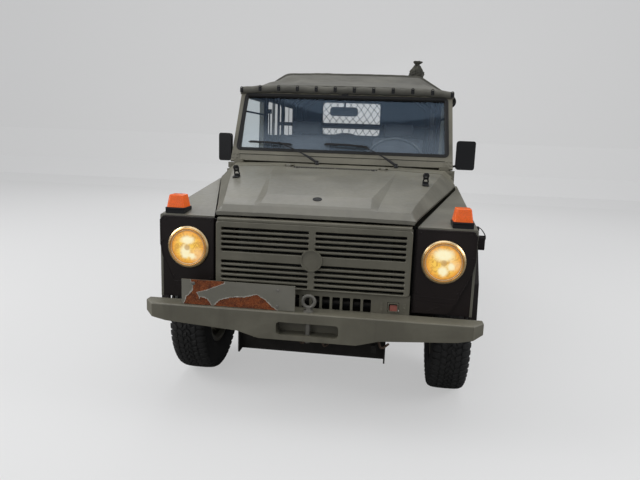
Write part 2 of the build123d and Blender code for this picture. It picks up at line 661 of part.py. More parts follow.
# Pressed grille: five slots above and five below the middle band on each side of the centre bar
GRILLE_X = 473
GRILLE_LOW = 680
GRILLE_TOP = 1000
GRILLE_THICK = 22
SLOT_PITCH = 26
SLOT_HEIGHT = 14
SLOT_ROWS = 5
SLOT_EDGE = 3
GRILLE_EDGE_R = 6
SLOT_INNER = 16
SLOT_OUTER = 446
TOP_SLOT_Z = 962
LOW_SLOT_Z = 800
BADGE_Z = 831
with BuildPart() as grille:
    with BuildSketch(facing(GRILLE_FRONT)):
        with Locations((0, (GRILLE_LOW + GRILLE_TOP) / 2)):
            RectangleRounded(2 * GRILLE_X, GRILLE_TOP - GRILLE_LOW, 18)
    extrude(amount=-GRILLE_THICK)
    fillet(grille.faces().sort_by(Axis.Y)[0].edges(), GRILLE_EDGE_R)
    # Each slot is cut through, and its edge turns inwards by a slope round it
    for grow, depth, slope in ((0, GRILLE_THICK, 0), (SLOT_EDGE, SLOT_EDGE, 45)):
        with BuildSketch(facing(GRILLE_FRONT)):
            for first in (TOP_SLOT_Z, LOW_SLOT_Z):
                for row in range(SLOT_ROWS):
                    for side in (-1, 1):
                        with Locations((side * (SLOT_INNER + SLOT_OUTER) / 2, first - row * SLOT_PITCH)):
                            RectangleRounded(SLOT_OUTER - SLOT_INNER + 2 * grow, SLOT_HEIGHT + 2 * grow, 5 + grow)
        extrude(amount=-depth, taper=slope, mode=Mode.SUBTRACT)
    with BuildSketch(facing(GRILLE_FRONT)):
        with Locations((0, BADGE_Z)):
            Circle(53)
    extrude(amount=10)
    with BuildSketch(facing(GRILLE_FRONT - 10)):
        with Locations((0, BADGE_Z)):
            Circle(46)
    extrude(amount=-4, mode=Mode.SUBTRACT)
    for x_range in ((-GRILLE_X, -GRILLE_X + 20), (GRILLE_X - 20, GRILLE_X)):
        add(slab(x_range, (GRILLE_FRONT + GRILLE_THICK - 1, LAMP_PANEL_FRONT + 40), (GRILLE_LOW, GRILLE_TOP)))
save(grille.part, "grille")

# Slotted panel between the grille and the bumper
LOWER_FRONT = -600
LOWER_SLOTS = 6
LOWER_PITCH = 50
with BuildPart() as lower_grille:
    with BuildSketch(facing(LOWER_FRONT)):
        with Locations((0, 625.5)):
            Rectangle(956, 101)
        for side in (-1, 1):
            for slot in range(LOWER_SLOTS):
                with Locations((side * (LOWER_PITCH / 2 + slot * LOWER_PITCH), 620)):
                    RectangleRounded(38, 66, 6, mode=Mode.SUBTRACT)
            with Locations((side * 400, 622)):
                RectangleRounded(56, 50, 5, mode=Mode.SUBTRACT)
    extrude(amount=-12)
    add(slab((-478, 478), (LOWER_FRONT, FENDER_FRONT), (664, GRILLE_LOW - SEAT_GAP)))
save(lower_grille.part, "lower_grille")

# Front bumper: pressed channel with a deeper middle, a tow jaw and its slot
BUMPER_FRONT = -FRONT_OVERHANG
BUMPER_TOP = 590
BUMPER_PLATE = 6
BUMPER_EDGE_R = 8
BUMPER_X = 822
JAW_X = 150
JAW_LOW = 476
JAW_TOP = 540
TOW_S = -662
TOW_PIN_R = 13
with BuildPart() as front_bumper:
    outer_plan = plan_points([(-BUMPER_X, BUMPER_REAR), (-BUMPER_X, -640), (-770, BUMPER_FRONT),
                              (770, BUMPER_FRONT), (BUMPER_X, -640), (BUMPER_X, BUMPER_REAR)])
    inner_plan = plan_points([
        (-BUMPER_X + BUMPER_PLATE, BUMPER_REAR + 1), (-BUMPER_X + BUMPER_PLATE, -638),
        (-770 + 3, BUMPER_FRONT + BUMPER_PLATE), (770 - 3, BUMPER_FRONT + BUMPER_PLATE),
        (BUMPER_X - BUMPER_PLATE, -638), (BUMPER_X - BUMPER_PLATE, BUMPER_REAR + 1)])
    with BuildSketch(level(452)):
        with BuildLine():
            Polyline(outer_plan, close=True)
        make_face()
    extrude(amount=BUMPER_TOP - 452)
    with BuildSketch(facing(BUMPER_REAR + 5)):
        with BuildLine():
            Polyline(mirrored([(BUMPER_X + 1, BUMPER_TOP), (BUMPER_X + 1, 532), (700, 505),
                               (340, 481), (235, 452)]), close=True)
        make_face()
    extrude(amount=BUMPER_REAR + 5 - BUMPER_FRONT + 10, mode=Mode.INTERSECT)
    fillet(front_bumper.edges().group_by(Axis.Z)[-1].sort_by(Axis.Y)[:-1], BUMPER_EDGE_R)
    with BuildSketch(level(440)):
        with BuildLine():
            Polyline(inner_plan, close=True)
        make_face()
    extrude(amount=BUMPER_TOP - BUMPER_PLATE - 440, mode=Mode.SUBTRACT)
    add(slab((-JAW_X - 12, JAW_X + 12), (BUMPER_FRONT + 3, -615), (JAW_LOW - 10, JAW_TOP + 10)))
    with BuildSketch(facing(BUMPER_FRONT)):
        with Locations((0, (JAW_LOW + JAW_TOP) / 2)):
            RectangleRounded(2 * JAW_X, JAW_TOP - JAW_LOW, 16)
    extrude(amount=-78, mode=Mode.SUBTRACT)
    with Locations((0, y_at(TOW_S), 520)):
        Cylinder(TOW_PIN_R + PIN_CLEARANCE, 220, mode=Mode.SUBTRACT)
    for side in (-1, 1):
        add(slab(sorted((side * (RAIL_X - 18), side * (RAIL_X + 18))),
                 (BUMPER_FRONT + 3, RAIL_FRONT - SEAT_GAP), (522, 574.7)))
save(front_bumper.part, "front_bumper")

# Tow pin with its ring, dropped through the jaw
RING_Z = 640
with BuildPart() as tow_pin:
    with BuildSketch(level(436)):
        with Locations((0, y_at(TOW_S))):
            Circle(TOW_PIN_R)
    extrude(amount=RING_Z - 30 - 436)
    with BuildSketch(level(BUMPER_TOP)):
        with Locations((0, y_at(TOW_S))):
            Circle(24)
    extrude(amount=9)
    with BuildSketch(Plane(origin=(28, y_at(TOW_S), RING_Z), z_dir=(0, 0, 1))):
        Circle(9)
    revolve(axis=Axis((0, y_at(TOW_S), RING_Z), (0, 1, 0)))
save(tow_pin.part, "tow_pin")

# Blank number plate standing on the bumper
with BuildPart() as front_plate:
    add(slab((-622, -63), (-683, -679), (592, 716)))
    for x in (-560, -130):
        add(slab((x - 12, x + 12), (-680, -650), (BUMPER_TOP, BUMPER_TOP + 4)))
        add(slab((x - 12, x + 12), (-680, -676), (BUMPER_TOP, BUMPER_TOP + 60)))
save(front_plate.part, "front_plate")

# Bonnet: one pressing of 18 mm, with a raised middle that fades out to the rear
BONNET_THICK = 18
BONNET_SECTIONS = (
    # station, then low edge, crease, foot and top of the raised middle as x, z
    (BONNET_FRONT, (485, 1040), (455, 1042), (300, 1043), (266, 1044)),
    (-562, (BONNET_LOW_FRONT, 1041), (456, 1074), (300, 1075), (266, 1076)),
    (-550, (490, 1042), (459, 1076), (301, 1078), (268, 1087)),
    (-433, (521, 1056), (483, 1097), (312, 1099), (265, 1122)),
    (189, (700, 1122), (628, 1193), (382, 1205), (376, 1206)),
    (BONNET_REAR, (BONNET_LOW_REAR, 1141), (662, 1211), (390, 1222), (384, 1223)),
)
with BuildPart() as bonnet:
    for station, *half in BONNET_SECTIONS:
        under = [(x - 8 if index < 2 else x, z - BONNET_THICK) for index, (x, z) in enumerate(half)]
        with BuildSketch(facing(station)):
            with BuildLine():
                Polyline(half + [(-x, z) for x, z in reversed(half)]
                         + [(-x, z) for x, z in under] + list(reversed(under)), close=True)
            make_face()
    loft(ruled=True)
    # Air slots near the rear edge
    with BuildSketch(level(1150)):
        for slot in range(-8, 9):
            if slot:
                with Locations((slot * 30, y_at(305))):
                    Rectangle(20, 9, rotation=20)
    extrude(amount=120, mode=Mode.SUBTRACT)
    # Middle knuckles of the two hinges, on straps along the rear edge
    for side in (-1, 1):
        add(slab(sorted((side * (BONNET_HINGE_X - 14), side * (BONNET_HINGE_X + 14))),
                 (BONNET_REAR - 40, BONNET_REAR - 4), (1214, 1227)))
        add(slab(sorted((side * (BONNET_HINGE_X - 14), side * (BONNET_HINGE_X + 14))),
                 (BONNET_REAR - 40, BONNET_HINGE[0]), (1225, BONNET_HINGE[1] + 3)))
        for radius, mode in ((6, Mode.ADD), (3 + SEAT_GAP, Mode.SUBTRACT)):
            with BuildSketch(across(side * BONNET_HINGE_X - 14)):
                with Locations((y_at(BONNET_HINGE[0]), BONNET_HINGE[1])):
                    Circle(radius)
            extrude(amount=28, mode=mode)
save(bonnet.part, "bonnet")


def bonnet_top(x, station):
    """Height of the bonnet's flat side field at x and a station."""
    front, rear = BONNET_SECTIONS[3:5]
    part = (station - front[0]) / (rear[0] - front[0])
    crease, foot = ([a + (b - a) * part for a, b in zip(front[i], rear[i])] for i in (2, 3))
    return crease[1] + (foot[1] - crease[1]) * (crease[0] - x) / (crease[0] - foot[0])


# Sprung rubber rests on the bonnet for the folded windscreen
REST_X = 548
REST_WIDTH = 40
REST_Z = bonnet_top(REST_X - REST_WIDTH / 2, 4) + SEAT_GAP
with BuildPart() as screen_rests:
    for side in (-1, 1):
        with BuildSketch(across(side * REST_X - REST_WIDTH / 2)):
            with BuildLine():
                Polyline(side_points([
                    (s, bonnet_top(REST_X - REST_WIDTH / 2, s) + SEAT_GAP) for s in (-26, 34)]
                    + [(26, REST_Z + 66), (4, REST_Z + 70), (-14, REST_Z + 52)]), close=True)
            make_face()
            with Locations((y_at(6), REST_Z + 34)):
                Circle(13, mode=Mode.SUBTRACT)
        extrude(amount=REST_WIDTH)
save(screen_rests.part, "screen_rests")

# Windscreen frame in its raked plane, with the hinge blocks at its foot
screen_plane = Plane(
    origin=(0, y_at(SCREEN_BASE_S), SCREEN_BASE_Z), x_dir=(1, 0, 0),
    z_dir=(0, -math.cos(SCREEN_RAKE), math.sin(SCREEN_RAKE)))
GLASS_LOW = 86
GLASS_TOP = 488
GLASS_LOW_X = 706
GLASS_TOP_X = 690
GLASS_CORNER_R = 16
with BuildPart() as windscreen_frame:
    with BuildSketch(screen_plane):
        with BuildLine():
            Polyline(mirrored([(SCREEN_BASE_X, 0), (SCREEN_TOP_X, SCREEN_HEIGHT)]), close=True)
        make_face()
    extrude(amount=-SCREEN_DEPTH)
    with BuildSketch(screen_plane) as opening:
        with BuildLine():
            Polyline(mirrored([(GLASS_LOW_X, GLASS_LOW), (GLASS_TOP_X, GLASS_TOP)]), close=True)
        make_face()
        fillet(opening.vertices(), GLASS_CORNER_R)
    extrude(amount=-SCREEN_DEPTH, mode=Mode.SUBTRACT)
    fillet(windscreen_frame.edges().filter_by(Axis.X).group_by(Axis.Z)[-1], 8)
    low_in, low_out = SCREEN_HINGE_X
    for side in (-1, 1):
        add(slab(sorted((side * 660, side * 720)), (COWL_REAR - 16, 600), (1227.4, 1250)))
        # Folding hinge: a shield-shaped leaf on the frame with its knuckle along the foot
        with BuildSketch(screen_plane):
            with BuildLine():
                Polyline([(side * x, v) for x, v in (
                    (low_in, -2), (low_out, -2), (low_out, 46), (low_out - 12, 56),
                    (low_in + 12, 56), (low_in, 46))], close=True)
            make_face()
        extrude(amount=5)
        with BuildSketch(across(side * low_in)):
            with Locations((y_at(SCREEN_BASE_S - 8), SCREEN_BASE_Z - 5)):
                Circle(9)
        extrude(amount=side * (low_out - low_in))
save(windscreen_frame.part, "windscreen_frame")

with BuildPart() as windscreen_glass:
    with BuildSketch(screen_plane.offset(-14)) as pane:
        with BuildLine():
            Polyline(mirrored([
                (GLASS_LOW_X - SEAT_GAP, GLASS_LOW + SEAT_GAP), (GLASS_TOP_X - SEAT_GAP, GLASS_TOP - SEAT_GAP)]),
                close=True)
        make_face()
        fillet(pane.vertices(), GLASS_CORNER_R)
    extrude(amount=-6)
save(windscreen_glass.part, "windscreen_glass")

# Two wipers with their arms and blades lying on the glass
WIPERS = (
    # pivot x, arm end x and height up the screen, blade's two ends as x and height
    (-141, -311, 140, -470, 128, -238, 132),
    (379, 120, 140, -60, 140, 200, 128),
)
with BuildPart() as wipers:
    for pivot_x, arm_x, arm_v, left_x, left_v, right_x, right_v in WIPERS:
        pivot = Vector(pivot_x, y_at(500), 1246.9)
        tip = screen_plane.from_local_coords(Vector(arm_x, arm_v, 12))
        left = screen_plane.from_local_coords(Vector(left_x, left_v, 4))
        right = screen_plane.from_local_coords(Vector(right_x, right_v, 4))
        for start, end, radius in ((pivot, tip, 6), (left, right, 7)):
            with BuildSketch(Plane(origin=start, z_dir=end - start)):
                Circle(radius)
            extrude(amount=(end - start).length)
        with BuildSketch(Plane(origin=pivot - Vector(0, 0, 14.5), z_dir=(0, 0, 1))):
            Circle(12)
        extrude(amount=22)
save(wipers.part, "wipers")

# Hoops that carry the canvas, and the crossbar behind the front seats
HOOP_R = 12
CROSSBAR_S = DOOR_REAR + 505
CROSSBAR_Z = 1522
HOOPS = (
    # station, height of the crown
    (DOOR_REAR + 30, 1873), (CROSSBAR_S, 1877), (2650, 1875), (BODY_REAR - 120, 1873))
HOOP_X = 698
EAVE_Z = 1742
SHOULDER_X = 514
with BuildPart() as roof_hoops:
    for station, crown in HOOPS:
        with BuildLine() as hoop_path:
            FilletPolyline([(-HOOP_X, y_at(station), BELT_Z - 60), (-HOOP_X, y_at(station), EAVE_Z),
                            (-SHOULDER_X, y_at(station), crown), (SHOULDER_X, y_at(station), crown),
                            (HOOP_X, y_at(station), EAVE_Z), (HOOP_X, y_at(station), BELT_Z - 60)],
                           radius=60)
        with BuildSketch(Plane(origin=hoop_path.line @ 0, z_dir=hoop_path.line % 0)):
            Circle(HOOP_R)
        sweep(path=hoop_path.line)
        for side in (-1, 1):
            add(slab(sorted((side * (HOOP_X - 16), side * (SIDE_INNER - 0.3))),
                     (station - 18, station + 18), (BELT_Z - 70, BELT_Z - 6)))
    with BuildSketch(across(-HOOP_X)):
        with Locations((y_at(CROSSBAR_S), CROSSBAR_Z)):
            Circle(16)
    extrude(amount=2 * HOOP_X)
save(roof_hoops.part, "roof_hoops")

# Canvas top: hollow shell with roof, sides and back, open to the cab and the load space
CANVAS = 10
CANVAS_FRONT = 768
CANVAS_LOW = BELT_Z + SEAT_GAP
REAR_TOP_S = BODY_REAR - 60
CANVAS_SECTIONS = (
    # station, eave x and height, shoulder x and height
    (CANVAS_FRONT, 746, 1738, 530, 1757),
    (DOOR_REAR + 30, 744, 1768, 530, 1900),
    (DOOR_REAR + 505, 744, 1772, 530, 1901),
    (BODY_REAR + 40, 744, 1772, 530, 1896),
)
SIDE_WINDOWS = ((1670, 2260), (2400, 2950))
WINDOW_LOW = 1420
WINDOW_TOP = 1700
REAR_WINDOW = (-500, 170, 1450, 1815)


def canvas_shell(inset, bottom):
    """Solid of the canvas's outer form, or of its inner form when inset."""
    with BuildPart() as shell:
        for station, eave_x, eave_z, shoulder_x, shoulder_z in CANVAS_SECTIONS:
            foot_x = 750 - inset
            with BuildSketch(facing(station)):
                with BuildLine():
                    Polyline(mirrored([(foot_x, bottom), (eave_x - inset, eave_z - inset),
                                       (shoulder_x - inset / 2, shoulder_z - inset)]), close=True)
                make_face()
        loft(ruled=True)
        with BuildSketch(across(-900)):
            with BuildLine():
                Polyline(side_points([
                    (CANVAS_FRONT - inset, bottom), (BODY_REAR - 4 - inset, bottom),
                    (REAR_TOP_S - inset, 1950), (CANVAS_FRONT - inset, 1950)]), close=True)
            make_face()
        extrude(amount=1800, mode=Mode.INTERSECT)
    return shell.part


with BuildPart() as canvas_top:
    add(canvas_shell(0, CANVAS_LOW))
    add(canvas_shell(CANVAS, CANVAS_LOW - 5), mode=Mode.SUBTRACT)
    # Above the doors and the windscreen only the roof and a short flange are left
    add(slab((-900, 900), (CANVAS_FRONT - 50, SIDE_FRONT), (CANVAS_LOW - 20, 1726)), mode=Mode.SUBTRACT)
    for s_low, s_high in SIDE_WINDOWS:
        with BuildSketch(across(-900)):
            with Locations((y_at((s_low + s_high) / 2), (WINDOW_LOW + WINDOW_TOP) / 2)):
                RectangleRounded(s_high - s_low, WINDOW_TOP - WINDOW_LOW, 40)
        extrude(amount=1800, mode=Mode.SUBTRACT)
    x_low, x_high, z_low, z_high = REAR_WINDOW
    with BuildSketch(facing(BODY_REAR + 60)):
        with Locations(((x_low + x_high) / 2, (z_low + z_high) / 2)):
            RectangleRounded(x_high - x_low, z_high - z_low, 40)
    extrude(amount=200, mode=Mode.SUBTRACT)
save(canvas_top.part, "canvas_top")

# Clear windows in the canvas, a little smaller than their openings
with BuildPart() as canvas_windows:
    add(canvas_shell(3, CANVAS_LOW + 20))
    add(canvas_shell(6, CANVAS_LOW - 30), mode=Mode.SUBTRACT)
    with BuildPart(mode=Mode.PRIVATE) as panes:
        for s_low, s_high in SIDE_WINDOWS:
            with BuildSketch(across(-900)):
                with Locations((y_at((s_low + s_high) / 2), (WINDOW_LOW + WINDOW_TOP) / 2)):
                    RectangleRounded(s_high - s_low - 1, WINDOW_TOP - WINDOW_LOW - 1, 39)
            extrude(amount=1800)
        x_low, x_high, z_low, z_high = REAR_WINDOW
        with BuildSketch(facing(BODY_REAR + 60)):
            with Locations(((x_low + x_high) / 2, (z_low + z_high) / 2)):
                RectangleRounded(x_high - x_low - 1, z_high - z_low - 1, 39)
        extrude(amount=200)
    add(panes.part, mode=Mode.INTERSECT)
save(canvas_windows.part, "canvas_windows")

# Tied canvas bag on the roof and the rolled side curtain at the left eave
BAG_X = 498
BAG_Z = 1900.55
BAG_PROFILE = (
    # radius, height above the roof
    (0, 0), (54, 0), (62, 24), (46, 74), (19, 102), (27, 130), (0, 136))
BAG_S = 1500
ROLL_R = 40
with BuildPart() as canvas_bundles:
    with BuildSketch(Plane(origin=(BAG_X, 0, 0), x_dir=(1, 0, 0), z_dir=(0, -1, 0)).offset(-y_at(BAG_S))):
        with BuildLine():
            Polyline([(radius, BAG_Z + z) for radius, z in BAG_PROFILE], close=True)
        make_face()
    revolve(axis=Axis((BAG_X, y_at(BAG_S), 1900), (0, 0, 1)))
    with BuildSketch(facing(SIDE_FRONT + 12)):
        with Locations((784.9, 1732)):
            Circle(ROLL_R)
    extrude(amount=-480)
save(canvas_bundles.part, "canvas_bundles")

# Doors with window frames, hinges, glass and mirrors
DOOR_LOWER_IN = SIDE_INNER
DOOR_TOP_Z = 1716
DOOR_CORNER_R = 24
HANDLE_Z = 1139
UPPER_IN = 708
UPPER_OUT = 736
SCREEN_LEAN = math.tan(SCREEN_RAKE)
SCREEN_BACK_S = SCREEN_BASE_S + SCREEN_DEPTH / math.cos(SCREEN_RAKE) + DOOR_GAP
MIRROR_SPANS = {1: (768, 888), -1: (758, 844)}
MIRROR_HEIGHT = 188
MIRROR_Z = 1326


def pillar_s(z):
    """Station of the door's raked front edge at height z, just behind the windscreen."""
    return SCREEN_BACK_S + (z - SCREEN_BASE_Z) * SCREEN_LEAN


for side, name in ((1, "left"), (-1, "right")):
    low_z = SILL_TOP + DOOR_GAP
    with BuildPart() as door:
        with BuildSketch(across(side * DOOR_LOWER_IN)) as outline:
            with BuildLine():
                Polyline(side_points([
                    (DOOR_FRONT, low_z), (DOOR_REAR, low_z), (DOOR_REAR, BELT_Z),
                    (COWL_REAR + 24, BELT_Z), (COWL_REAR + 14, BELT_Z - 75), (DOOR_FRONT, BELT_Z - 75)]), close=True)
            make_face()
            fillet(outline.vertices().group_by(Axis.Y)[0], DOOR_CORNER_R)
        extrude(amount=side * WALL)
        with BuildSketch(across(side * (DOOR_LOWER_IN - 1))):
            with Locations((y_at((DOOR_FRONT + DOOR_REAR) / 2), (low_z + BELT_Z) / 2 - 20)):
                RectangleRounded(DOOR_LENGTH - 160, BELT_Z - low_z - 220, 40)
        extrude(amount=side * (WALL - PANEL), mode=Mode.SUBTRACT)
        add(slab(sorted((side * (BODY_X - 1), side * (BODY_X + RIDGE_DEPTH))), (DOOR_FRONT + 4, DOOR_REAR), RIDGE_Z))
        with BuildSketch(across(side * UPPER_IN)):
            with BuildLine():
                Polyline(side_points([
                    (pillar_s(BELT_Z - 20), BELT_Z - 20), (DOOR_REAR, BELT_Z - 20),
                    (DOOR_REAR, DOOR_TOP_Z), (pillar_s(DOOR_TOP_Z), DOOR_TOP_Z)]), close=True)
            make_face()
            with BuildLine():
                Polyline(side_points([
                    (pillar_s(BELT_Z + 20) + 48, BELT_Z + 20), (DOOR_REAR - 40, BELT_Z + 20),
                    (DOOR_REAR - 40, DOOR_TOP_Z - 40), (pillar_s(DOOR_TOP_Z - 40) + 48, DOOR_TOP_Z - 40)]),
                    close=True)
            make_face(mode=Mode.SUBTRACT)
        extrude(amount=side * (UPPER_OUT - UPPER_IN))
        for z in HINGE_Z:
            add(slab(sorted((side * (BODY_X - 1), side * (HINGE_X + 4))),
                     (HINGE_S + HINGE_R + 2, DOOR_FRONT + 60), (z, z + HINGE_LENGTH)))
            add(slab(sorted((side * HINGE_X, side * (HINGE_X + 4))),
                     (HINGE_S, DOOR_FRONT + 10), (z, z + HINGE_LENGTH)))
            for radius, mode in ((HINGE_R, Mode.ADD), (HINGE_PIN_R + SEAT_GAP, Mode.SUBTRACT)):
                with BuildSketch(level(z)):
                    with Locations((side * HINGE_X, y_at(HINGE_S))):
                        Circle(radius)
                extrude(amount=HINGE_LENGTH, mode=mode)
        # Lever handle on its round base
        with BuildSketch(across(side * (BODY_X - 1))):
            with Locations((y_at(DOOR_REAR - 62), HANDLE_Z)):
                Circle(19)
        extrude(amount=side * 22)
        with BuildSketch(across(side * (BODY_X + 20))):
            with Locations((y_at(DOOR_REAR - 108), HANDLE_Z)):
                SlotOverall(132, 20)
        extrude(amount=side * 11)
    save(door.part, f"door_{name}")

    with BuildPart() as door_glass:
        with BuildSketch(across(side * (UPPER_IN + 10))):
            with BuildLine():
                Polyline(side_points([
                    (pillar_s(BELT_Z + 20) + 48.5, BELT_Z + 20.3), (DOOR_REAR - 40.3, BELT_Z + 20.3),
                    (DOOR_REAR - 40.3, DOOR_TOP_Z - 40.3), (pillar_s(DOOR_TOP_Z - 40) + 48.3, DOOR_TOP_Z - 40.3)]),
                    close=True)
            make_face()
        extrude(amount=side * 5)
    save(door_glass.part, f"door_glass_{name}")

    with BuildPart() as mirror_block:
        mirror_in, mirror_out = MIRROR_SPANS[side]
        middle = (mirror_in + mirror_out) / 2
        with BuildSketch(facing(600)):
            with Locations((side * middle, MIRROR_Z)):
                RectangleRounded(mirror_out - mirror_in, MIRROR_HEIGHT, 16)
        extrude(amount=-36, taper=6)
        arm = [(side * (UPPER_OUT + SEAT_GAP), y_at(630), 1250), (side * (UPPER_OUT + 14), y_at(630), 1250),
               (side * (middle - 30), y_at(640), 1262), (side * middle, y_at(636), 1290)]
        for start, end in zip(arm, arm[1:]):
            start = Vector(*start)
            end = Vector(*end)
            with BuildSketch(Plane(origin=start, z_dir=end - start)):
                Circle(7)
            extrude(amount=(end - start).length + 4)
    save(mirror_block.part, f"mirror_{name}")

# Tailgate, side-hinged on the right, with the spare wheel on its bracket
GATE_LOW = FLOOR_Z
GATE_TOP = BELT_Z - 5
GATE_HANDLE_Z = 1020
SPARE_X = -240
SPARE_Z = 1100
with BuildPart() as tailgate:
    add(slab((-GATE_HALF, GATE_HALF), (BODY_REAR - WALL, BODY_REAR), (GATE_LOW, GATE_TOP)))
    for x in (-330, 330):
        add(slab((x - 260, x + 260), (BODY_REAR - WALL - 1, BODY_REAR - PANEL), (GATE_LOW + 70, GATE_TOP - 70)),
            mode=Mode.SUBTRACT)
    with BuildSketch(facing(BODY_REAR - PANEL)):
        with Locations((SPARE_X, SPARE_Z)):
            Circle(85)
    extrude(amount=-(PANEL + 20))
    with BuildSketch(facing(BODY_REAR)):
        with Locations((SPARE_X, SPARE_Z)):
            Circle(55)
    extrude(amount=-(SPARE_STAND_OFF + TYRE_WIDTH / 2 + 39.7))
    for z in GATE_HINGE_Z:
        add(slab((GATE_HINGE_X, -GATE_HALF + 70), (GATE_HINGE_S, GATE_HINGE_S + 6), (z, z + HINGE_LENGTH)))
        add(slab((-GATE_HALF + 12, -GATE_HALF + 70), (BODY_REAR - 1, GATE_HINGE_S + 6), (z, z + HINGE_LENGTH)))
        for radius, mode in ((HINGE_R, Mode.ADD), (HINGE_PIN_R + SEAT_GAP, Mode.SUBTRACT)):
            with BuildSketch(level(z)):
                with Locations((GATE_HINGE_X, y_at(GATE_HINGE_S))):
                    Circle(radius)
            extrude(amount=HINGE_LENGTH, mode=mode)
    # Pressed ridge in line with the body's, and the lever handle on its round base
    add(slab((-GATE_HALF + 80, GATE_HALF - 12), (BODY_REAR - 1, BODY_REAR + RIDGE_DEPTH), RIDGE_Z))
    with BuildSketch(facing(BODY_REAR - 1)):
        with Locations((GATE_HALF - 62, GATE_HANDLE_Z)):
            Circle(19)
    extrude(amount=-22)
    with BuildSketch(facing(BODY_REAR + 20)):
        with Locations((GATE_HALF - 108, GATE_HANDLE_Z)):
            SlotOverall(132, 20)
    extrude(amount=-11)
save(tailgate.part, "tailgate")


# Wheels: one tyre and one pressed rim with slots, at the four corners and on the gate
TYRE_SIDES = 40
TYRE_SHOULDER = 30
TYRE_PROFILE = (
    # distance from the middle of the tread, radius
    (RIM_WIDTH / 2 - 1.5, RIM_RADIUS + 0.2), (RIM_WIDTH / 2 - 1.5, RIM_RADIUS + 14), (92, 232),
    (TYRE_WIDTH / 2, 285), (TYRE_WIDTH / 2 - 5, 338), (TYRE_WIDTH / 2 - 16, TYRE_RADIUS - 8),
    (TYRE_WIDTH / 2 - TYRE_SHOULDER, TYRE_RADIUS))
RIM_STUDS = 5
RIM_PCD_R = 65
HUB_R = 38


def tyre():
    """Tyre about the X axis, open to the rim, with flat facets that stand on the ground."""
    bead, *outside = TYRE_PROFILE
    rings = [(-x, r) for x, r in outside] + [(x, r) for x, r in reversed(outside)]
    with BuildPart() as made:
        for x, radius in rings:
            with BuildSketch(across(x)):
                RegularPolygon(radius, TYRE_SIDES, major_radius=False, rotation=180 / TYRE_SIDES)
        loft(ruled=True)
        with BuildSketch(across(-TYRE_WIDTH)):
            RegularPolygon(bead[1], TYRE_SIDES, major_radius=False, rotation=180 / TYRE_SIDES)
        extrude(amount=2 * TYRE_WIDTH, mode=Mode.SUBTRACT)
    return made.part


def rim():
    """Rim about the X axis with its outer face towards +X: barrel, dished disc and hub."""
    seat = RIM_RADIUS - 0.1
    well = RIM_RADIUS - 17
    lip = RIM_RADIUS + 13
    flange_in = RIM_WIDTH / 2 - 1
    flange_out = RIM_WIDTH / 2 + 5
    with BuildPart() as made:
        with BuildSketch(Plane.XY):
            with BuildLine():
                Polyline([(flange_in, lip), (flange_in, seat), (58, seat), (50, well), (-50, well), (-58, seat),
                          (-flange_in, seat), (-flange_in, lip), (-flange_out, lip), (-flange_out, seat - 7),
                          (-62, well - 8), (34, well - 8), (24, 140), (RIM_DISC, 105), (RIM_DISC, 0),
                          (RIM_DISC + PANEL, 0), (RIM_DISC + PANEL, 108), (36, 142), (46, well - 10),
                          (62, well + 4), (flange_out, seat - 7), (flange_out, lip)], close=True)
            make_face()
        revolve(axis=Axis.X)
        with BuildSketch(Plane.YZ.offset(0)):
            with PolarLocations(152, 10):
                Circle(13)
        extrude(amount=80, mode=Mode.SUBTRACT)
        with BuildSketch(Plane.YZ.offset(RIM_DISC)):
            Circle(HUB_R)
        extrude(amount=44)
        with BuildSketch(Plane.YZ.offset(RIM_DISC + PANEL)):
            with PolarLocations(RIM_PCD_R, RIM_STUDS):
                RegularPolygon(12, 6)
        extrude(amount=16)
    return made.part


WHEELS = (("front_left", 1, 0), ("front_right", -1, 0), ("rear_left", 1, WHEELBASE), ("rear_right", -1, WHEELBASE))
plain_tyre = tyre()
plain_rim = rim()
for name, side, station in WHEELS:
    turned = Rot(0, 0, 0) if side > 0 else Rot(0, 0, 180)
    place = Pos(side * WHEEL_X, y_at(station), TYRE_RADIUS)
    save(place * turned * plain_tyre, f"tyre_{name}")
    save(place * turned * plain_rim, f"rim_{name}")

spare_place = Pos(SPARE_X, y_at(BODY_REAR + SPARE_STAND_OFF + TYRE_WIDTH / 2), SPARE_Z)
save(spare_place * Rot(0, 0, 90) * plain_tyre, "spare_tyre")
save(spare_place * Rot(0, 0, 90) * plain_rim, "spare_rim")

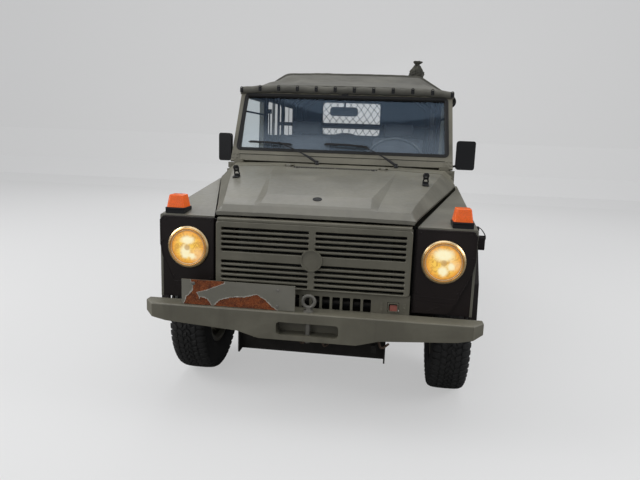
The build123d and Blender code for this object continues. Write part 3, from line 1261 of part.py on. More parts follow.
# Knuckles: disc, arms over and under the ball with the kingpins, and the steering arm
KNUCKLE_IN = KINGPIN_X + BALL_R + 2
for side, name in ((1, "left"), (-1, "right")):
    with BuildPart() as knuckle:
        with BuildSketch(across(side * KNUCKLE_IN)):
            with Locations((y_at(0), TYRE_RADIUS)):
                Rectangle(80, 2 * BALL_R + 36)
        extrude(amount=side * 14)
        with BuildSketch(across(side * (KNUCKLE_IN + 14))):
            with Locations((y_at(0), TYRE_RADIUS)):
                Circle(95)
        extrude(amount=side * 14)
        with BuildSketch(across(side * (KNUCKLE_IN + 28))):
            with Locations((y_at(0), TYRE_RADIUS)):
                Circle(45)
        extrude(amount=side * (HUB_FACE - KNUCKLE_IN - 28))
        for up in (-1, 1):
            z_in = TYRE_RADIUS + up * (BALL_R + 4)
            z_out = TYRE_RADIUS + up * (BALL_R + 18)
            add(slab(sorted((side * (KINGPIN_X - 30), side * (KNUCKLE_IN + 10))), (-36, 36),
                     sorted((z_in, z_out))))
            with BuildSketch(level(z_in)):
                with Locations((side * KINGPIN_X, y_at(0))):
                    Circle(KINGPIN_R)
            extrude(amount=-up * 40)
        add(slab(sorted((side * (KINGPIN_X - 16), side * (KINGPIN_X + 16))), (30, STEER_ARM),
                 (TYRE_RADIUS - BALL_R - 18, TYRE_RADIUS - BALL_R - 4)))
        with BuildSketch(level(TYRE_RADIUS - BALL_R - 18)):
            with Locations((side * KINGPIN_X, y_at(STEER_ARM))):
                Circle(16)
        extrude(amount=14)
        with BuildSketch(level(TYRE_RADIUS - BALL_R - 4)):
            with Locations((side * KINGPIN_X, y_at(STEER_ARM))):
                Circle(8)
        extrude(amount=30)
    save(knuckle.part, f"knuckle_{name}")

# Track rod between the two steering arms
ROD_Z = TYRE_RADIUS - BALL_R + 10
ROD_R = 13
with BuildPart() as track_rod:
    with BuildSketch(across(-KINGPIN_X + 12)):
        with Locations((y_at(STEER_ARM), ROD_Z)):
            Circle(ROD_R)
    extrude(amount=2 * KINGPIN_X - 24)
    for side in (-1, 1):
        with BuildSketch(level(ROD_Z - 12)):
            with Locations((side * KINGPIN_X, y_at(STEER_ARM))):
                Circle(16)
        extrude(amount=24)
    for side in (-1, 1):
        with Locations((side * KINGPIN_X, y_at(STEER_ARM), ROD_Z)):
            Cylinder(8 + PIN_CLEARANCE, 60, mode=Mode.SUBTRACT)
save(track_rod.part, "track_rod")

# Dashboard with the column housing
WHEEL_HUB = Vector(365, y_at(965), 1256)
COLUMN_TILT = math.radians(35)
COLUMN_DIR = Vector(0, math.cos(COLUMN_TILT), math.sin(COLUMN_TILT))
POD_WIDTH = 236
POD_HEIGHT = 96
with BuildPart() as dashboard:
    with BuildSketch(across(-SIDE_INNER + 14)):
        with BuildLine():
            Polyline(side_points([(488.3, 1000), (640, 1010), (740, 1120), (745, 1195), (700, 1215),
                                  (640, 1220), (570, 1186), (488.3, 1180)]), close=True)
        make_face()
    extrude(amount=2 * (SIDE_INNER - 14))
    with BuildSketch(Plane(origin=WHEEL_HUB - COLUMN_DIR * 340, z_dir=COLUMN_DIR)):
        Circle(34)
    extrude(amount=340 - 30 - SEAT_GAP)
    # Instrument pod ahead of the wheel, with its hollow face
    with BuildSketch(facing(640)):
        with Locations((WHEEL_HUB.X, 1222)):
            RectangleRounded(POD_WIDTH, POD_HEIGHT, 24)
    extrude(amount=-74)
    with BuildSketch(facing(640 + 74)):
        with Locations((WHEEL_HUB.X, 1222)):
            RectangleRounded(POD_WIDTH - 16, POD_HEIGHT - 16, 18)
    extrude(amount=10, mode=Mode.SUBTRACT)
save(dashboard.part, "dashboard")

# Gear lever, two transfer levers on their boots, and three pedals hung from the firewall
FLOOR_TOP = FLOOR_Z + PANEL
LEVERS = (
    # x, height, knob radius
    (10, 930, 20), (70, 862, 15), (104, 850, 15))
LEVER_S = 676
PEDALS = (
    # x, width of the pad
    (265, 62), (355, 62), (440, 48))
PEDAL_Z = 980
with BuildPart() as levers_and_pedals:
    with BuildSketch(level(FLOOR_TOP + SEAT_GAP)):
        with Locations(((LEVERS[0][0] + LEVERS[-1][0]) / 2, y_at(LEVER_S))):
            RectangleRounded(176, 90, 30)
    extrude(amount=20, taper=20)
    for x, height, knob in LEVERS:
        foot = Vector(x, y_at(LEVER_S), FLOOR_TOP + 10)
        tip = Vector(x, y_at(LEVER_S + 50), height)
        with BuildSketch(Plane(origin=foot, z_dir=tip - foot)):
            Circle(7)
        extrude(amount=(tip - foot).length)
        with Locations(tip):
            Sphere(knob)
    add(slab((PEDALS[0][0] - 40, PEDALS[-1][0] + 30), (488 + SEAT_GAP, 530), (PEDAL_Z - 20, PEDAL_Z + 15)))
    for x, width in PEDALS:
        with BuildSketch(across(x - 6)):
            with BuildLine():
                Polyline(side_points([(505, PEDAL_Z), (560, 880), (640, 800)]))
            trace(line_width=14)
        extrude(amount=12)
        with BuildSketch(across(x - width / 2)):
            with Locations((y_at(644), 796)):
                Rectangle(12, 70, rotation=-35)
        extrude(amount=width)
save(levers_and_pedals.part, "levers_and_pedals")

# Steering wheel with two spokes
STEERING_R = 200
with BuildPart() as steering_wheel:
    hub_plane = Plane(origin=WHEEL_HUB, x_dir=(1, 0, 0), z_dir=COLUMN_DIR)
    with BuildSketch(Plane(origin=WHEEL_HUB, x_dir=(1, 0, 0), z_dir=COLUMN_DIR.cross(Vector(1, 0, 0)))):
        with Locations((STEERING_R, 0)):
            Circle(11)
    revolve(axis=Axis(WHEEL_HUB, COLUMN_DIR))
    with BuildSketch(hub_plane.offset(-30)):
        Circle(45)
    extrude(amount=30)
    with BuildSketch(hub_plane.offset(-12)):
        for angle in (200, 340, 90):
            with Locations(Rot(0, 0, angle) * Pos(110, 0)):
                Rectangle(170, 24)
    extrude(amount=10)
save(steering_wheel.part, "steering_wheel")

# Seats: cushion and back on a frame, and the long benches over the wheel boxes
SEAT_X = 385
with BuildPart() as seats:
    for side in (-1, 1):
        x_range = sorted((side * (SEAT_X - 225), side * (SEAT_X + 225)))
        add(slab(x_range, (960, 1420), (850, 960)))
        add(slab(sorted((side * (SEAT_X - 180), side * (SEAT_X + 180))), (1010, 1390), (FLOOR_Z + PANEL, 855)))
        with BuildSketch(across(x_range[0])):
            with BuildLine():
                Polyline(side_points([(1370, 950), (1490, 950), (1600, 1440), (1500, 1440)]), close=True)
            make_face()
        extrude(amount=450)
        with BuildSketch(across(side * SEAT_X - 125)):
            with BuildLine():
                Polyline(side_points([(1505, 1435), (1600, 1435), (1612, 1545), (1530, 1545)]), close=True)
            make_face()
        extrude(amount=250)
        add(slab(sorted((side * (REAR_BOX_IN - 120), side * (SIDE_INNER - 20))),
                 (WHEELBASE - REAR_ARCH_HALF - 80, BODY_REAR - 120), (REAR_BOX_TOP + SEAT_GAP, REAR_BOX_TOP + 70)))
save(seats.part, "seats")

# Rear lamps on the corner posts, and the rear bumper with its tow hook
with BuildPart() as rear_lamps:
    for side in (-1, 1):
        with BuildSketch(facing(BODY_REAR)):
            with Locations((side * (BODY_X - CORNER_R - 37), 760)):
                RectangleRounded(70, 190, 8)
        extrude(amount=-38, taper=5)
save(rear_lamps.part, "rear_lamps")

with BuildPart() as rear_bumper:
    add(slab((-SIDE_INNER + 10, SIDE_INNER - 10), (RAIL_REAR + 0.3, RAIL_REAR + 6), (RAIL_LOW - 10, RAIL_TOP - 55)))
    for side in (-1, 1):
        add(slab(sorted((side * 300, side * BODY_X)), (BODY_REAR + 2, BODY_REAR + 54), (455, 572)))
        add(slab(sorted((side * (RAIL_X - 25), side * (RAIL_X + 25))), (RAIL_REAR, BODY_REAR + 4), (505, 570)))
    add(slab((-120, 120), (RAIL_REAR + 0.3, BODY_REAR + 20), (500, 560)))
    with BuildSketch(level(500)):
        with Locations((0, y_at(BODY_REAR + 62))):
            Circle(42)
    extrude(amount=46)
    with BuildSketch(level(490)):
        with Locations((0, y_at(BODY_REAR + 62))):
            Circle(22)
    extrude(amount=70, mode=Mode.SUBTRACT)
save(rear_bumper.part, "rear_bumper")
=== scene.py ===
"""Army 4x4 car with a canvas top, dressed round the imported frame.

Metres. The front faces -Y, the car's left side is +X and +Z is up; the origin is on the ground below
the car's middle. A station is a distance behind the front axle.
"""

import json
import math

import bmesh
import bpy
import numpy as np
from mathutils import Matrix, Vector


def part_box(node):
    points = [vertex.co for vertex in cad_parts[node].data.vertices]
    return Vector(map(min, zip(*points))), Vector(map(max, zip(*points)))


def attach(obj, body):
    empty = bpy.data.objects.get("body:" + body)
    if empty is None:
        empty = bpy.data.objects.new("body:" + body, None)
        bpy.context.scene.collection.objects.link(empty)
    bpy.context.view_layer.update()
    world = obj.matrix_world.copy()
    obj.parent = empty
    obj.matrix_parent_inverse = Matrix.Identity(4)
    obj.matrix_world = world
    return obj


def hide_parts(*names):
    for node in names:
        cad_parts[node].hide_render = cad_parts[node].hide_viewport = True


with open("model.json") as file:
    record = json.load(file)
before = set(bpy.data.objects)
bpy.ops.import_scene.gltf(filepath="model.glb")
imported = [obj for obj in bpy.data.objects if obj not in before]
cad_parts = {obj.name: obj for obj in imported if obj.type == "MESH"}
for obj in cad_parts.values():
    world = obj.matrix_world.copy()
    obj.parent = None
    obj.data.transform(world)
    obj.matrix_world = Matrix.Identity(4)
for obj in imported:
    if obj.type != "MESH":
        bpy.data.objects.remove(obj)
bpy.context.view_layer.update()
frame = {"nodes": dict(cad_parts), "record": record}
NODES = frame["nodes"]
FRONT_AXLE_Y = -1.5495
WHEELBASE = 2.85
WHEEL_X = 0.72
TYRE_R = 0.375
BODY_X = 0.762
BELT_Z = 1.215


def y_at(station):
    """Y of a station."""
    return FRONT_AXLE_Y + station


# Shapes as arrays of points and faces


class Shape:
    """Points and faces, each block of faces an array with one row for each face."""

    def __init__(self, points, *faces):
        self.points = np.asarray(points, float).reshape(-1, 3)
        self.faces = [np.asarray(block, int) for block in faces]

    def __add__(self, other):
        start = len(self.points)
        return Shape(np.concatenate([self.points, other.points]), *self.faces,
                     *[block + start for block in other.faces])

    def moved(self, x=0.0, y=0.0, z=0.0):
        return Shape(self.points + (x, y, z), *self.faces)

    def turned(self, axis, angle):
        """Turned by an angle in radians about an axis through the origin."""
        turn = np.array(Matrix.Rotation(angle, 3, Vector(axis)))
        return Shape(self.points @ turn.T, *self.faces)

    def mirrored(self):
        """Mirror image on the car's other side, with its faces turned back outwards."""
        return Shape(self.points * (-1, 1, 1), *[block[:, ::-1] for block in self.faces])

    def both_sides(self):
        return self + self.mirrored()

    def ring(self, count, axis=0, share=1.0, start=0.0):
        """Copies turned evenly about a main axis through the origin."""
        angles = start + np.arange(count) * (2 * np.pi * share / count)
        turns = np.array([Matrix.Rotation(a, 3, "XYZ"[axis]) for a in angles])
        points = np.einsum("nij,pj->npi", turns, self.points).reshape(-1, 3)
        return Shape(points, *self._repeated(count))

    def copies(self, places):
        """A copy at each offset of a list of points."""
        places = np.asarray(places, float)
        points = (self.points[None] + places[:, None]).reshape(-1, 3)
        return Shape(points, *self._repeated(len(places)))

    def _repeated(self, count):
        steps = np.arange(count)[:, None, None] * len(self.points)
        return [(block[None] + steps).reshape(-1, block.shape[1]) for block in self.faces]


def joined(shapes):
    """Several shapes as one, in their order."""
    whole, *others = shapes
    for other in others:
        whole = whole + other
    return whole


def quads(rows, columns, wrap_rows=False, wrap_columns=False):
    """Four-sided faces between neighbouring points of a grid."""
    row, column = np.meshgrid(
        np.arange(rows if wrap_rows else rows - 1), np.arange(columns if wrap_columns else columns - 1),
        indexing="ij")
    next_row, next_column = (row + 1) % rows, (column + 1) % columns
    return np.stack([
        row * columns + column, row * columns + next_column, next_row * columns + next_column,
        next_row * columns + column], -1).reshape(-1, 4)


def woven(points, wrap_rows=False, wrap_columns=False):
    """Surface through a grid of points."""
    points = np.asarray(points, float)
    return Shape(points, quads(*points.shape[:2], wrap_rows, wrap_columns))


def tube(rows):
    """Surface through rows of points, each row closed on itself."""
    return woven(rows, False, True)


def prism(outline, lift):
    """Outline of points in space, carried by one vector and closed at both ends."""
    outline = np.asarray(outline, float)
    count = len(outline)
    points = np.concatenate([outline, outline + lift])
    ends = [np.arange(count)[::-1]], [np.arange(count) + count]
    return Shape(points, quads(2, count, wrap_columns=True), *ends)


def block(low, high):
    """Plain rectangular block between two corners."""
    (x_low, y_low, z_low), (x_high, y_high, z_high) = np.minimum(low, high), np.maximum(low, high)
    base = [(x_low, y_low, z_low), (x_high, y_low, z_low), (x_high, y_high, z_low), (x_low, y_high, z_low)]
    return prism(base, (0, 0, z_high - z_low))


def lathe(profile, steps=32, axis=0, closed=False):
    """Profile of place along a main axis and radius, turned about that axis."""
    along, radius = np.asarray(profile, float).T
    angle = np.linspace(0, 2 * np.pi, steps, endpoint=False)
    grid = np.empty((len(along), steps, 3))
    first, second = [(1, 2), (2, 0), (0, 1)][axis]
    grid[..., axis] = along[:, None]
    grid[..., first] = radius[:, None] * np.cos(angle)
    grid[..., second] = radius[:, None] * np.sin(angle)
    return woven(grid, closed, True)


def smooth_line(points, count):
    """Catmull-Rom curve through a few points, at evenly spread parameters."""
    points = np.asarray(points, float)
    last = len(points) - 1
    t = np.linspace(0, last, count)
    base = np.minimum(t.astype(int), last - 1)
    part = (t - base)[:, None]
    before, start, end, after = (points[np.clip(base + k, 0, last)] for k in (-1, 0, 1, 2))
    return 0.5 * (2 * start + (end - before) * part + (2 * before - 5 * start + 4 * end - after) * part**2
                  + (3 * start - before - 3 * end + after) * part**3)


def swept(path, section, upward=(0, 0, 1), closed=False):
    """Closed section of sideways and upward offsets, carried square to a path."""
    path = np.asarray(path, float)
    section = np.asarray(section, float)
    if closed:
        ahead = np.roll(path, -1, 0) - np.roll(path, 1, 0)
    else:
        ahead = np.gradient(path, axis=0)
    ahead /= np.linalg.norm(ahead, axis=1, keepdims=True)
    aside = np.cross(ahead, np.asarray(upward, float))
    aside /= np.linalg.norm(aside, axis=1, keepdims=True)
    above = np.cross(aside, ahead)
    grid = path[:, None] + aside[:, None] * section[None, :, :1] + above[:, None] * section[None, :, 1:]
    shape = woven(grid, closed, True)
    if not closed:
        count = len(section)
        last = (len(path) - 1) * count
        shape.faces += [np.array([np.arange(count)]), np.array([np.arange(count)[::-1] + last])]
    return shape


def rod(path, radius, sides=10, upward=(0, 0, 1), closed=False):
    """Round bar along a path."""
    angle = np.linspace(0, 2 * np.pi, sides, endpoint=False)
    section = np.stack([radius * np.cos(angle), radius * np.sin(angle)], -1)
    return swept(path, section, upward, closed)


def tape(width, height):
    """Flat oblong section from half its width and half its height."""
    return [(-width, -height), (width, -height), (width, height), (-width, height)]


def rounded_outline(width, height, radius, steps=5):
    """Rectangle with round corners about the origin, as rows of two values."""
    angle = np.linspace(0, np.pi / 2, steps)
    quarter = np.stack([np.cos(angle), np.sin(angle)], -1) * radius
    corners = []
    for turn, (side, top) in enumerate(((1, 1), (-1, 1), (-1, -1), (1, -1))):
        cosine, sine = (1, 0, -1, 0)[turn], (0, 1, 0, -1)[turn]
        turned = quarter @ np.array([[cosine, sine], [-sine, cosine]])
        corners.append(turned + (side * (width / 2 - radius), top * (height / 2 - radius)))
    return np.concatenate(corners)


def plate_at(place, size, radius, lift):
    """Plate with round corners about a place, square to the main axis along which it is lifted."""
    across = [axis for axis in range(3) if not lift[axis]]
    outline = rounded_outline(*size, radius)
    points = np.tile(np.asarray(place, float), (len(outline), 1))
    points[:, across] += outline
    return prism(points, lift)


def stacked(outline, layers, place=(0, 0, 0), axis=1):
    """Outline about a place in layers, each with its distance along an axis and its share of the outline."""
    across = [other for other in range(3) if other != axis]
    rows = np.empty((len(layers), len(outline), 3))
    rows[:] = place
    for row, (out, share) in zip(rows, layers):
        row[:, axis] += out
        row[:, across] += outline * share
    return tube(rows)


def lidded(shape, rows, half):
    """Close both ends of a folded-over section, where each point of its first half has one across from it."""
    count = 2 * half
    row = np.arange(half - 1)
    lid = np.stack([row, row + 1, count - 2 - row, count - 1 - row], -1)
    shape.faces += [lid, lid[:, ::-1] + (rows - 1) * count]
    return shape


def evened(values):
    """Values of a grid evened out along its rows with a bell-shaped weight."""
    weights = np.exp(-0.5 * np.arange(-2, 3) ** 2)
    weights /= weights.sum()
    wide = np.pad(values, ((0, 0), (2, 2)), mode="edge")
    return np.apply_along_axis(lambda line: np.convolve(line, weights, "valid"), 1, wide)


def ripple(first, second, scale, seed):
    """Smooth uneven field from -1 to 1: a sum of slanted sine waves with seeded directions."""
    random = np.random.default_rng(seed)
    total = np.zeros(np.broadcast(first, second).shape)
    for octave in range(7):
        turn = random.uniform(0, np.pi)
        pitch = scale * 0.72**octave
        total += 0.8**octave * np.sin(
            2 * np.pi * (first * np.cos(turn) + second * np.sin(turn)) / pitch + random.uniform(0, 6.28))
    return total / 3.0


def hump(value, centre, width):
    """Bell-shaped ridge of height 1 about a centre."""
    return np.exp(-(((value - centre) / width) ** 2))


def rounded_edges(piece, width, angle):
    """Bevel on every edge that turns by more than an angle in degrees."""
    soft = piece.modifiers.new("edges", "BEVEL")
    soft.width = width
    soft.segments = 2
    soft.limit_method = "ANGLE"
    soft.angle_limit = math.radians(angle)
    return soft


def make_piece(name, shape, body, finish, crease=35, bevel=0.0, wall=0.0, inside=None):
    """Blender object from a shape, which rides on a body; a wall may have another finish on its inside."""
    mesh = bpy.data.meshes.new(name)
    mesh.from_pydata(shape.points.tolist(), [], [row for part in shape.faces for row in part.tolist()])
    tidy = bmesh.new()
    tidy.from_mesh(mesh)
    bmesh.ops.remove_doubles(tidy, verts=tidy.verts, dist=1e-5)
    bmesh.ops.dissolve_degenerate(tidy, dist=1e-6, edges=tidy.edges)
    bmesh.ops.recalc_face_normals(tidy, faces=tidy.faces)
    tidy.to_mesh(mesh)
    tidy.free()
    mesh.shade_smooth()
    mesh.set_sharp_from_angle(angle=math.radians(crease))
    mesh.materials.append(ALL_FINISHES[finish])
    piece = bpy.data.objects.new(name, mesh)
    bpy.context.scene.collection.objects.link(piece)
    if wall:
        thick = piece.modifiers.new("wall", "SOLIDIFY")
        thick.thickness = wall
        thick.offset = -1.0
        if inside:
            mesh.materials.append(ALL_FINISHES[inside])
            thick.material_offset = 1
    if bevel:
        rounded_edges(piece, bevel, crease)
    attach(piece, body)
    finish if finish in RECORD_SLOTS else LIKE_SLOTS[finish]
    return piece


# Surface finishes


class Value:
    """A number socket that takes part in Python expressions."""

    def __init__(self, finish, socket):
        self.finish = finish
        self.socket = socket

    def _math(self, operation, *others):
        node = self.finish.node("ShaderNodeMath", {"operation": operation}, [self, *others])
        return Value(self.finish, node.outputs[0])

    def __add__(self, other):
        return self._math("ADD", other)

    __radd__ = __add__

    def __sub__(self, other):
        return self._math("SUBTRACT", other)

    def __rsub__(self, other):
        return self._math("MULTIPLY", -1.0)._math("ADD", other)

    def __mul__(self, other):
        return self._math("MULTIPLY", other)

    def __pow__(self, other):
        return self._math("POWER", other)

    def low(self, other):
        """The lower of two numbers."""
        return self._math("MINIMUM", other)

    def high(self, other):
        """The higher of two numbers."""
        return self._math("MAXIMUM", other)

    def step(self, start, end):
        """0 below start, 1 above end and a soft ramp between them."""
        node = self.finish.node("ShaderNodeMapRange", {"interpolation_type": "SMOOTHSTEP"}, {
            "Value": self, "From Min": start, "From Max": end})
        return Value(self.finish, node.outputs[0])


class Finish:
    """The node tree of one surface finish."""

    def __init__(self, name, rough=0.6, metal=0.0, **fixed):
        self.material = bpy.data.materials.new(name)
        self.material.use_nodes = True
        self.tree = self.material.node_tree
        self.shader = self.tree.nodes["Principled BSDF"]
        self.set("Roughness", rough)
        self.set("Metallic", metal)
        for key, value in fixed.items():
            self.set(key.replace("_", " "), value)
        self.place = self.node("ShaderNodeTexCoord").outputs["Object"]

    def node(self, kind, settings=None, values=None):
        """A node of a type, with its settings made first and then its inputs, by name or in order."""
        made = self.tree.nodes.new(kind)
        for key, value in (settings or {}).items():
            setattr(made, key, value)
        pairs = values.items() if isinstance(values, dict) else enumerate(values or [])
        for key, value in pairs:
            self.join(made.inputs[key], value)
        return made

    def join(self, socket, value):
        if isinstance(value, Value):
            value = value.socket
        if isinstance(value, bpy.types.NodeSocket):
            self.tree.links.new(value, socket)
        else:
            socket.default_value = value

    def set(self, name, value):
        self.join(self.shader.inputs[name], value)

    def show(self, shader):
        """Let another shader than the plain one reach the surface."""
        self.join(self.tree.nodes["Material Output"].inputs["Surface"], shader.outputs[0])

    def stretch(self, scale):
        """Object place, scaled along each axis."""
        return self.node("ShaderNodeMapping", None, {"Vector": self.place, "Scale": scale}).outputs[0]

    def noise(self, scale, detail=4.0, rough=0.55, bend=0.0, place=None):
        made = self.node("ShaderNodeTexNoise", None, {
            "Vector": place or self.place, "Scale": scale, "Detail": detail, "Roughness": rough,
            "Distortion": bend})
        return Value(self, made.outputs[0])

    def cells(self, scale):
        """Distance to the nearest of a scatter of points."""
        made = self.node("ShaderNodeTexVoronoi", None, {"Vector": self.place, "Scale": scale})
        return Value(self, made.outputs["Distance"])

    def axis(self, index):
        return Value(self, self.node("ShaderNodeSeparateXYZ", None, [self.place]).outputs[index])

    def facing_up(self):
        """How far a surface faces up, from -1 to 1."""
        normal = self.node("ShaderNodeNewGeometry").outputs["Normal"]
        return Value(self, self.node("ShaderNodeSeparateXYZ", None, [normal]).outputs[2])

    def mix(self, mask, first, second):
        """Colour that goes from first to second as mask goes from 0 to 1."""
        made = self.node("ShaderNodeMix", {"data_type": "RGBA", "clamp_factor": True})
        self.join(made.inputs[0], mask)
        self.join(made.inputs[6], first if not isinstance(first, tuple) else (*first, 1.0))
        self.join(made.inputs[7], second if not isinstance(second, tuple) else (*second, 1.0))
        return made.outputs[2]

    def bump(self, height, depth, strength=1.0):
        made = self.node("ShaderNodeBump", None, {"Height": height, "Distance": depth, "Strength": strength})
        self.join(self.shader.inputs["Normal"], made.outputs[0])


def paint(name, colour, dust=0.35, chips=0.5, rough=0.46, gloss=0.5):
    """Brushed-on matte paint: uneven tone, pale dust, darker streaks and small chips."""
    finish = Finish(name, rough, Specular_IOR_Level=gloss)
    tone = finish.noise(2.6, 6.0, 0.65)
    fine = finish.noise(38.0, 3.0)
    base = finish.mix(tone.step(0.35, 0.7), tuple(c * 0.82 for c in colour), colour)
    blown = finish.noise(5.0, 6.0, 0.62, 0.4).step(0.42, 0.72) * dust
    settled = (finish.facing_up().high(0.0) ** 3.0) * (0.35 * dust)
    dusty = blown + settled
    base = finish.mix(dusty, base, tuple(min(1.0, c * 1.45 + 0.02) for c in colour))
    streak = finish.noise(2.2, 4.0, 0.6, place=finish.stretch((6.0, 6.0, 0.6))).step(0.58, 0.78) * 0.35
    base = finish.mix(streak, base, tuple(c * 0.55 for c in colour))
    spots = finish.cells(26.0)
    gate = finish.noise(7.0, 2.0).step(0.62, 0.66)
    chip = (1.0 - spots.step(0.035, 0.075)) * gate * chips
    base = finish.mix(chip, base, (0.62, 0.60, 0.54))
    finish.set("Base Color", base)
    finish.set("Roughness", rough + (fine - 0.5) * 0.18 + dusty * 0.2)
    finish.bump(fine * 0.4 + finish.noise(220.0, 2.0) * 0.25 - chip * 0.5, 0.0006, 0.6)
    return finish.material


OLIVE = (0.146, 0.136, 0.100)
BLACK = (0.014, 0.0095, 0.0085)
olive_paint = paint("olive_paint", OLIVE)
ALL_FINISHES = {
    "olive_paint": olive_paint,
    "plate_paint": olive_paint,
    "black_paint": paint("black_paint", BLACK, dust=0.06, chips=0.08, rough=0.42, gloss=0.22),
    "chassis_steel": paint("chassis_paint", (0.020, 0.018, 0.016), dust=0.5, chips=0.1, rough=0.8, gloss=0.2),
}


def plain(name, colour, rough, metal=0.0, grain=120.0, depth=0.0003, vary=0.25, **fixed):
    """Moulded, cast or rubber surface with a fine grain and uneven tone."""
    finish = Finish(name, rough, metal, **fixed)
    grainy = finish.noise(grain, 4.0)
    broad = finish.noise(4.0, 4.0)
    finish.set("Base Color", finish.mix(
        broad.step(0.3, 0.75), tuple(c * (1 - vary) for c in colour), tuple(c * (1 + vary) for c in colour)))
    finish.set("Roughness", rough + (broad - 0.5) * 0.25)
    finish.bump(grainy, depth)
    return finish.material


ALL_FINISHES["black_plastic"] = plain("black_plastic", (0.010, 0.010, 0.011), 0.42, Specular_IOR_Level=0.22)
ALL_FINISHES["black_rubber"] = plain("black_rubber", (0.010, 0.010, 0.010), 0.6, Specular_IOR_Level=0.25)
PLAIN_FINISHES = {
    # colour and roughness, then where they are not plain's own: metal, grain, its depth, unevenness of tone
    "cast_iron": ((0.06, 0.052, 0.045), 0.8, 0.3, 60.0, 0.0012, 0.4),
    "bare_steel": ((0.20, 0.19, 0.165), 0.6, 0.5, 80.0, 0.0006, 0.35),
    "exhaust_steel": ((0.16, 0.11, 0.08), 0.7, 0.6, 50.0, 0.0006, 0.5),
    "radiator_alloy": ((0.02, 0.02, 0.02), 0.6, 0.4),
    "seat_cloth": ((0.14, 0.15, 0.17), 0.85, 0.0, 900.0, 0.0004),
    "tyre_rubber": ((0.0165, 0.016, 0.015), 0.8, 0.0, 300.0, 0.0005, 0.35),
    # The lamp bowl and rings are bare metal; their gold and amber colours are painted glow of the lit lamp on
    # them
    "lamp_bowl": ((0.75, 0.55, 0.3), 0.25, 0.9, 20.0, 0.0002, 0.1),
    "lamp_ring": ((0.80, 0.42, 0.12), 0.22, 0.9, 400.0, 0.00002, 0.08),
    "pale_ring": ((0.85, 0.62, 0.34), 0.3, 0.6, 400.0, 0.00002, 0.08),
    "canvas": ((0.118, 0.114, 0.096), 0.9, 0.0, 700.0, 0.0005),
    "dark_canvas": ((0.030, 0.029, 0.026), 0.85, 0.0, 700.0, 0.0005),
    "mottled_canvas": ((0.068, 0.066, 0.050), 0.9, 0.0, 60.0, 0.002, 0.75),
    # Inside face of the canvas: near black with a blue cast, far darker than the outside, as painted shade
    # inside the cab
    "shaded_canvas_inside": ((0.018, 0.024, 0.034), 0.9, 0.0, 30.0, 0.0001, 0.2),
    "white_mark": ((0.75, 0.75, 0.72), 0.5),
    "wheel_rim": ((0.07, 0.075, 0.08), 0.25),
    "mirror_glass": ((0.75, 0.78, 0.80), 0.06, 1.0, 30.0, 0.00002, 0.03),
}
for name, values in PLAIN_FINISHES.items():
    ALL_FINISHES[name] = plain(name, *values)


def dyed(name, colour, rough=0.25, glow=0.0):
    """Clear dyed plastic: deeper in its ribs, and lit a little from within."""
    finish = Finish(name, rough, Emission_Color=(*colour, 1.0), Emission_Strength=glow)
    ridge = finish.noise(150.0, 2.0)
    finish.set("Base Color", finish.mix(ridge.step(0.3, 0.7), tuple(c * 0.8 for c in colour), colour))
    finish.bump(ridge, 0.0004)
    return finish.material


ALL_FINISHES["amber_plastic"] = dyed("amber_plastic", (0.95, 0.15, 0.01), glow=0.12)
ALL_FINISHES["red_plastic"] = dyed("red_plastic", (0.42, 0.01, 0.01))
ALL_FINISHES["pink_plastic"] = dyed("pink_plastic", (0.40, 0.13, 0.10), 0.35)

SKY_SHEEN = (0.34, 0.46, 0.62, 1.0)
# Pale bluish colour of a painted reflection veiled over the lower glass
VEIL_SHEEN_COLOUR = (0.70, 0.84, 0.98, 1.0)


def clear(name, tint, gloss=0.04, grazing=0.5, rough=0.03, sheen_veil=None):
    """Thin clear sheet whose gloss grows with the fifth power of how edge-on it is.

    A painted reflection, a pale bluish veil over the lower glass, is given as the height where it is full,
    the height where it ends, and its share.
    """
    finish = Finish(name, rough)
    finish.set("Base Color", (*tint, 1.0))
    through = finish.node("ShaderNodeBsdfTransparent", None, {"Color": (*tint, 1.0)})
    facing = Value(finish, finish.node("ShaderNodeLayerWeight").outputs["Facing"])
    glossy = finish.node("ShaderNodeBsdfGlossy", None, {"Color": SKY_SHEEN, "Roughness": rough})
    share = facing**5.0 * grazing + gloss
    both = finish.node("ShaderNodeMixShader", None, [share, through.outputs[0], glossy.outputs[0]])
    if sheen_veil:
        full, gone, most = sheen_veil
        finish.set("Base Color", VEIL_SHEEN_COLOUR)
        # Painted reflection: a pale bluish veil, full on the lower glass and gone higher up
        dust = (1.0 - finish.axis(2).step(full, gone)) * most
        both = finish.node("ShaderNodeMixShader", None, [dust, both.outputs[0], finish.shader.outputs[0]])
    finish.show(both)
    return finish.material


ALL_FINISHES["clear_glass"] = clear("clear_glass", (0.93, 0.95, 0.955), sheen_veil=(1.36, 1.54, 0.07))
ALL_FINISHES["door_glass"] = clear("door_glass", (0.95, 0.97, 0.97), 0.03, 0.2)
ALL_FINISHES["clear_vinyl"] = clear("clear_vinyl", (0.96, 0.95, 0.94), 0.03, 0.2, 0.12)
ALL_FINISHES["lamp_glass"] = clear("lamp_glass", (0.95, 0.9, 0.8))

SLOTS = {entry["node"]: entry["material_slot"] for entry in frame["record"]["subparts"]}
RECORD_SLOTS = {entry["slot"] for entry in frame["record"]["materials"]}
LIKE_SLOTS = {
    # finish that only this script uses, and the record's slot that it stands for
    "dark_canvas": "canvas",
    "mottled_canvas": "canvas",
    "shaded_canvas_inside": "canvas",
    "white_mark": "black_plastic",
    "door_glass": "clear_glass",
    "lamp_glow": "lamp_glass",
    "lamp_ring": "lamp_bowl",
    "pale_ring": "lamp_bowl",
    "pink_plastic": "red_plastic",
    "rusted_plate": "plate_paint",
    "mirror_glass": "bare_steel",
}


def dress(node, finish=None):
    """Give a CAD node its finish."""
    mesh = NODES[node].data
    mesh.materials.clear()
    mesh.materials.append(finish or ALL_FINISHES[SLOTS[node]])


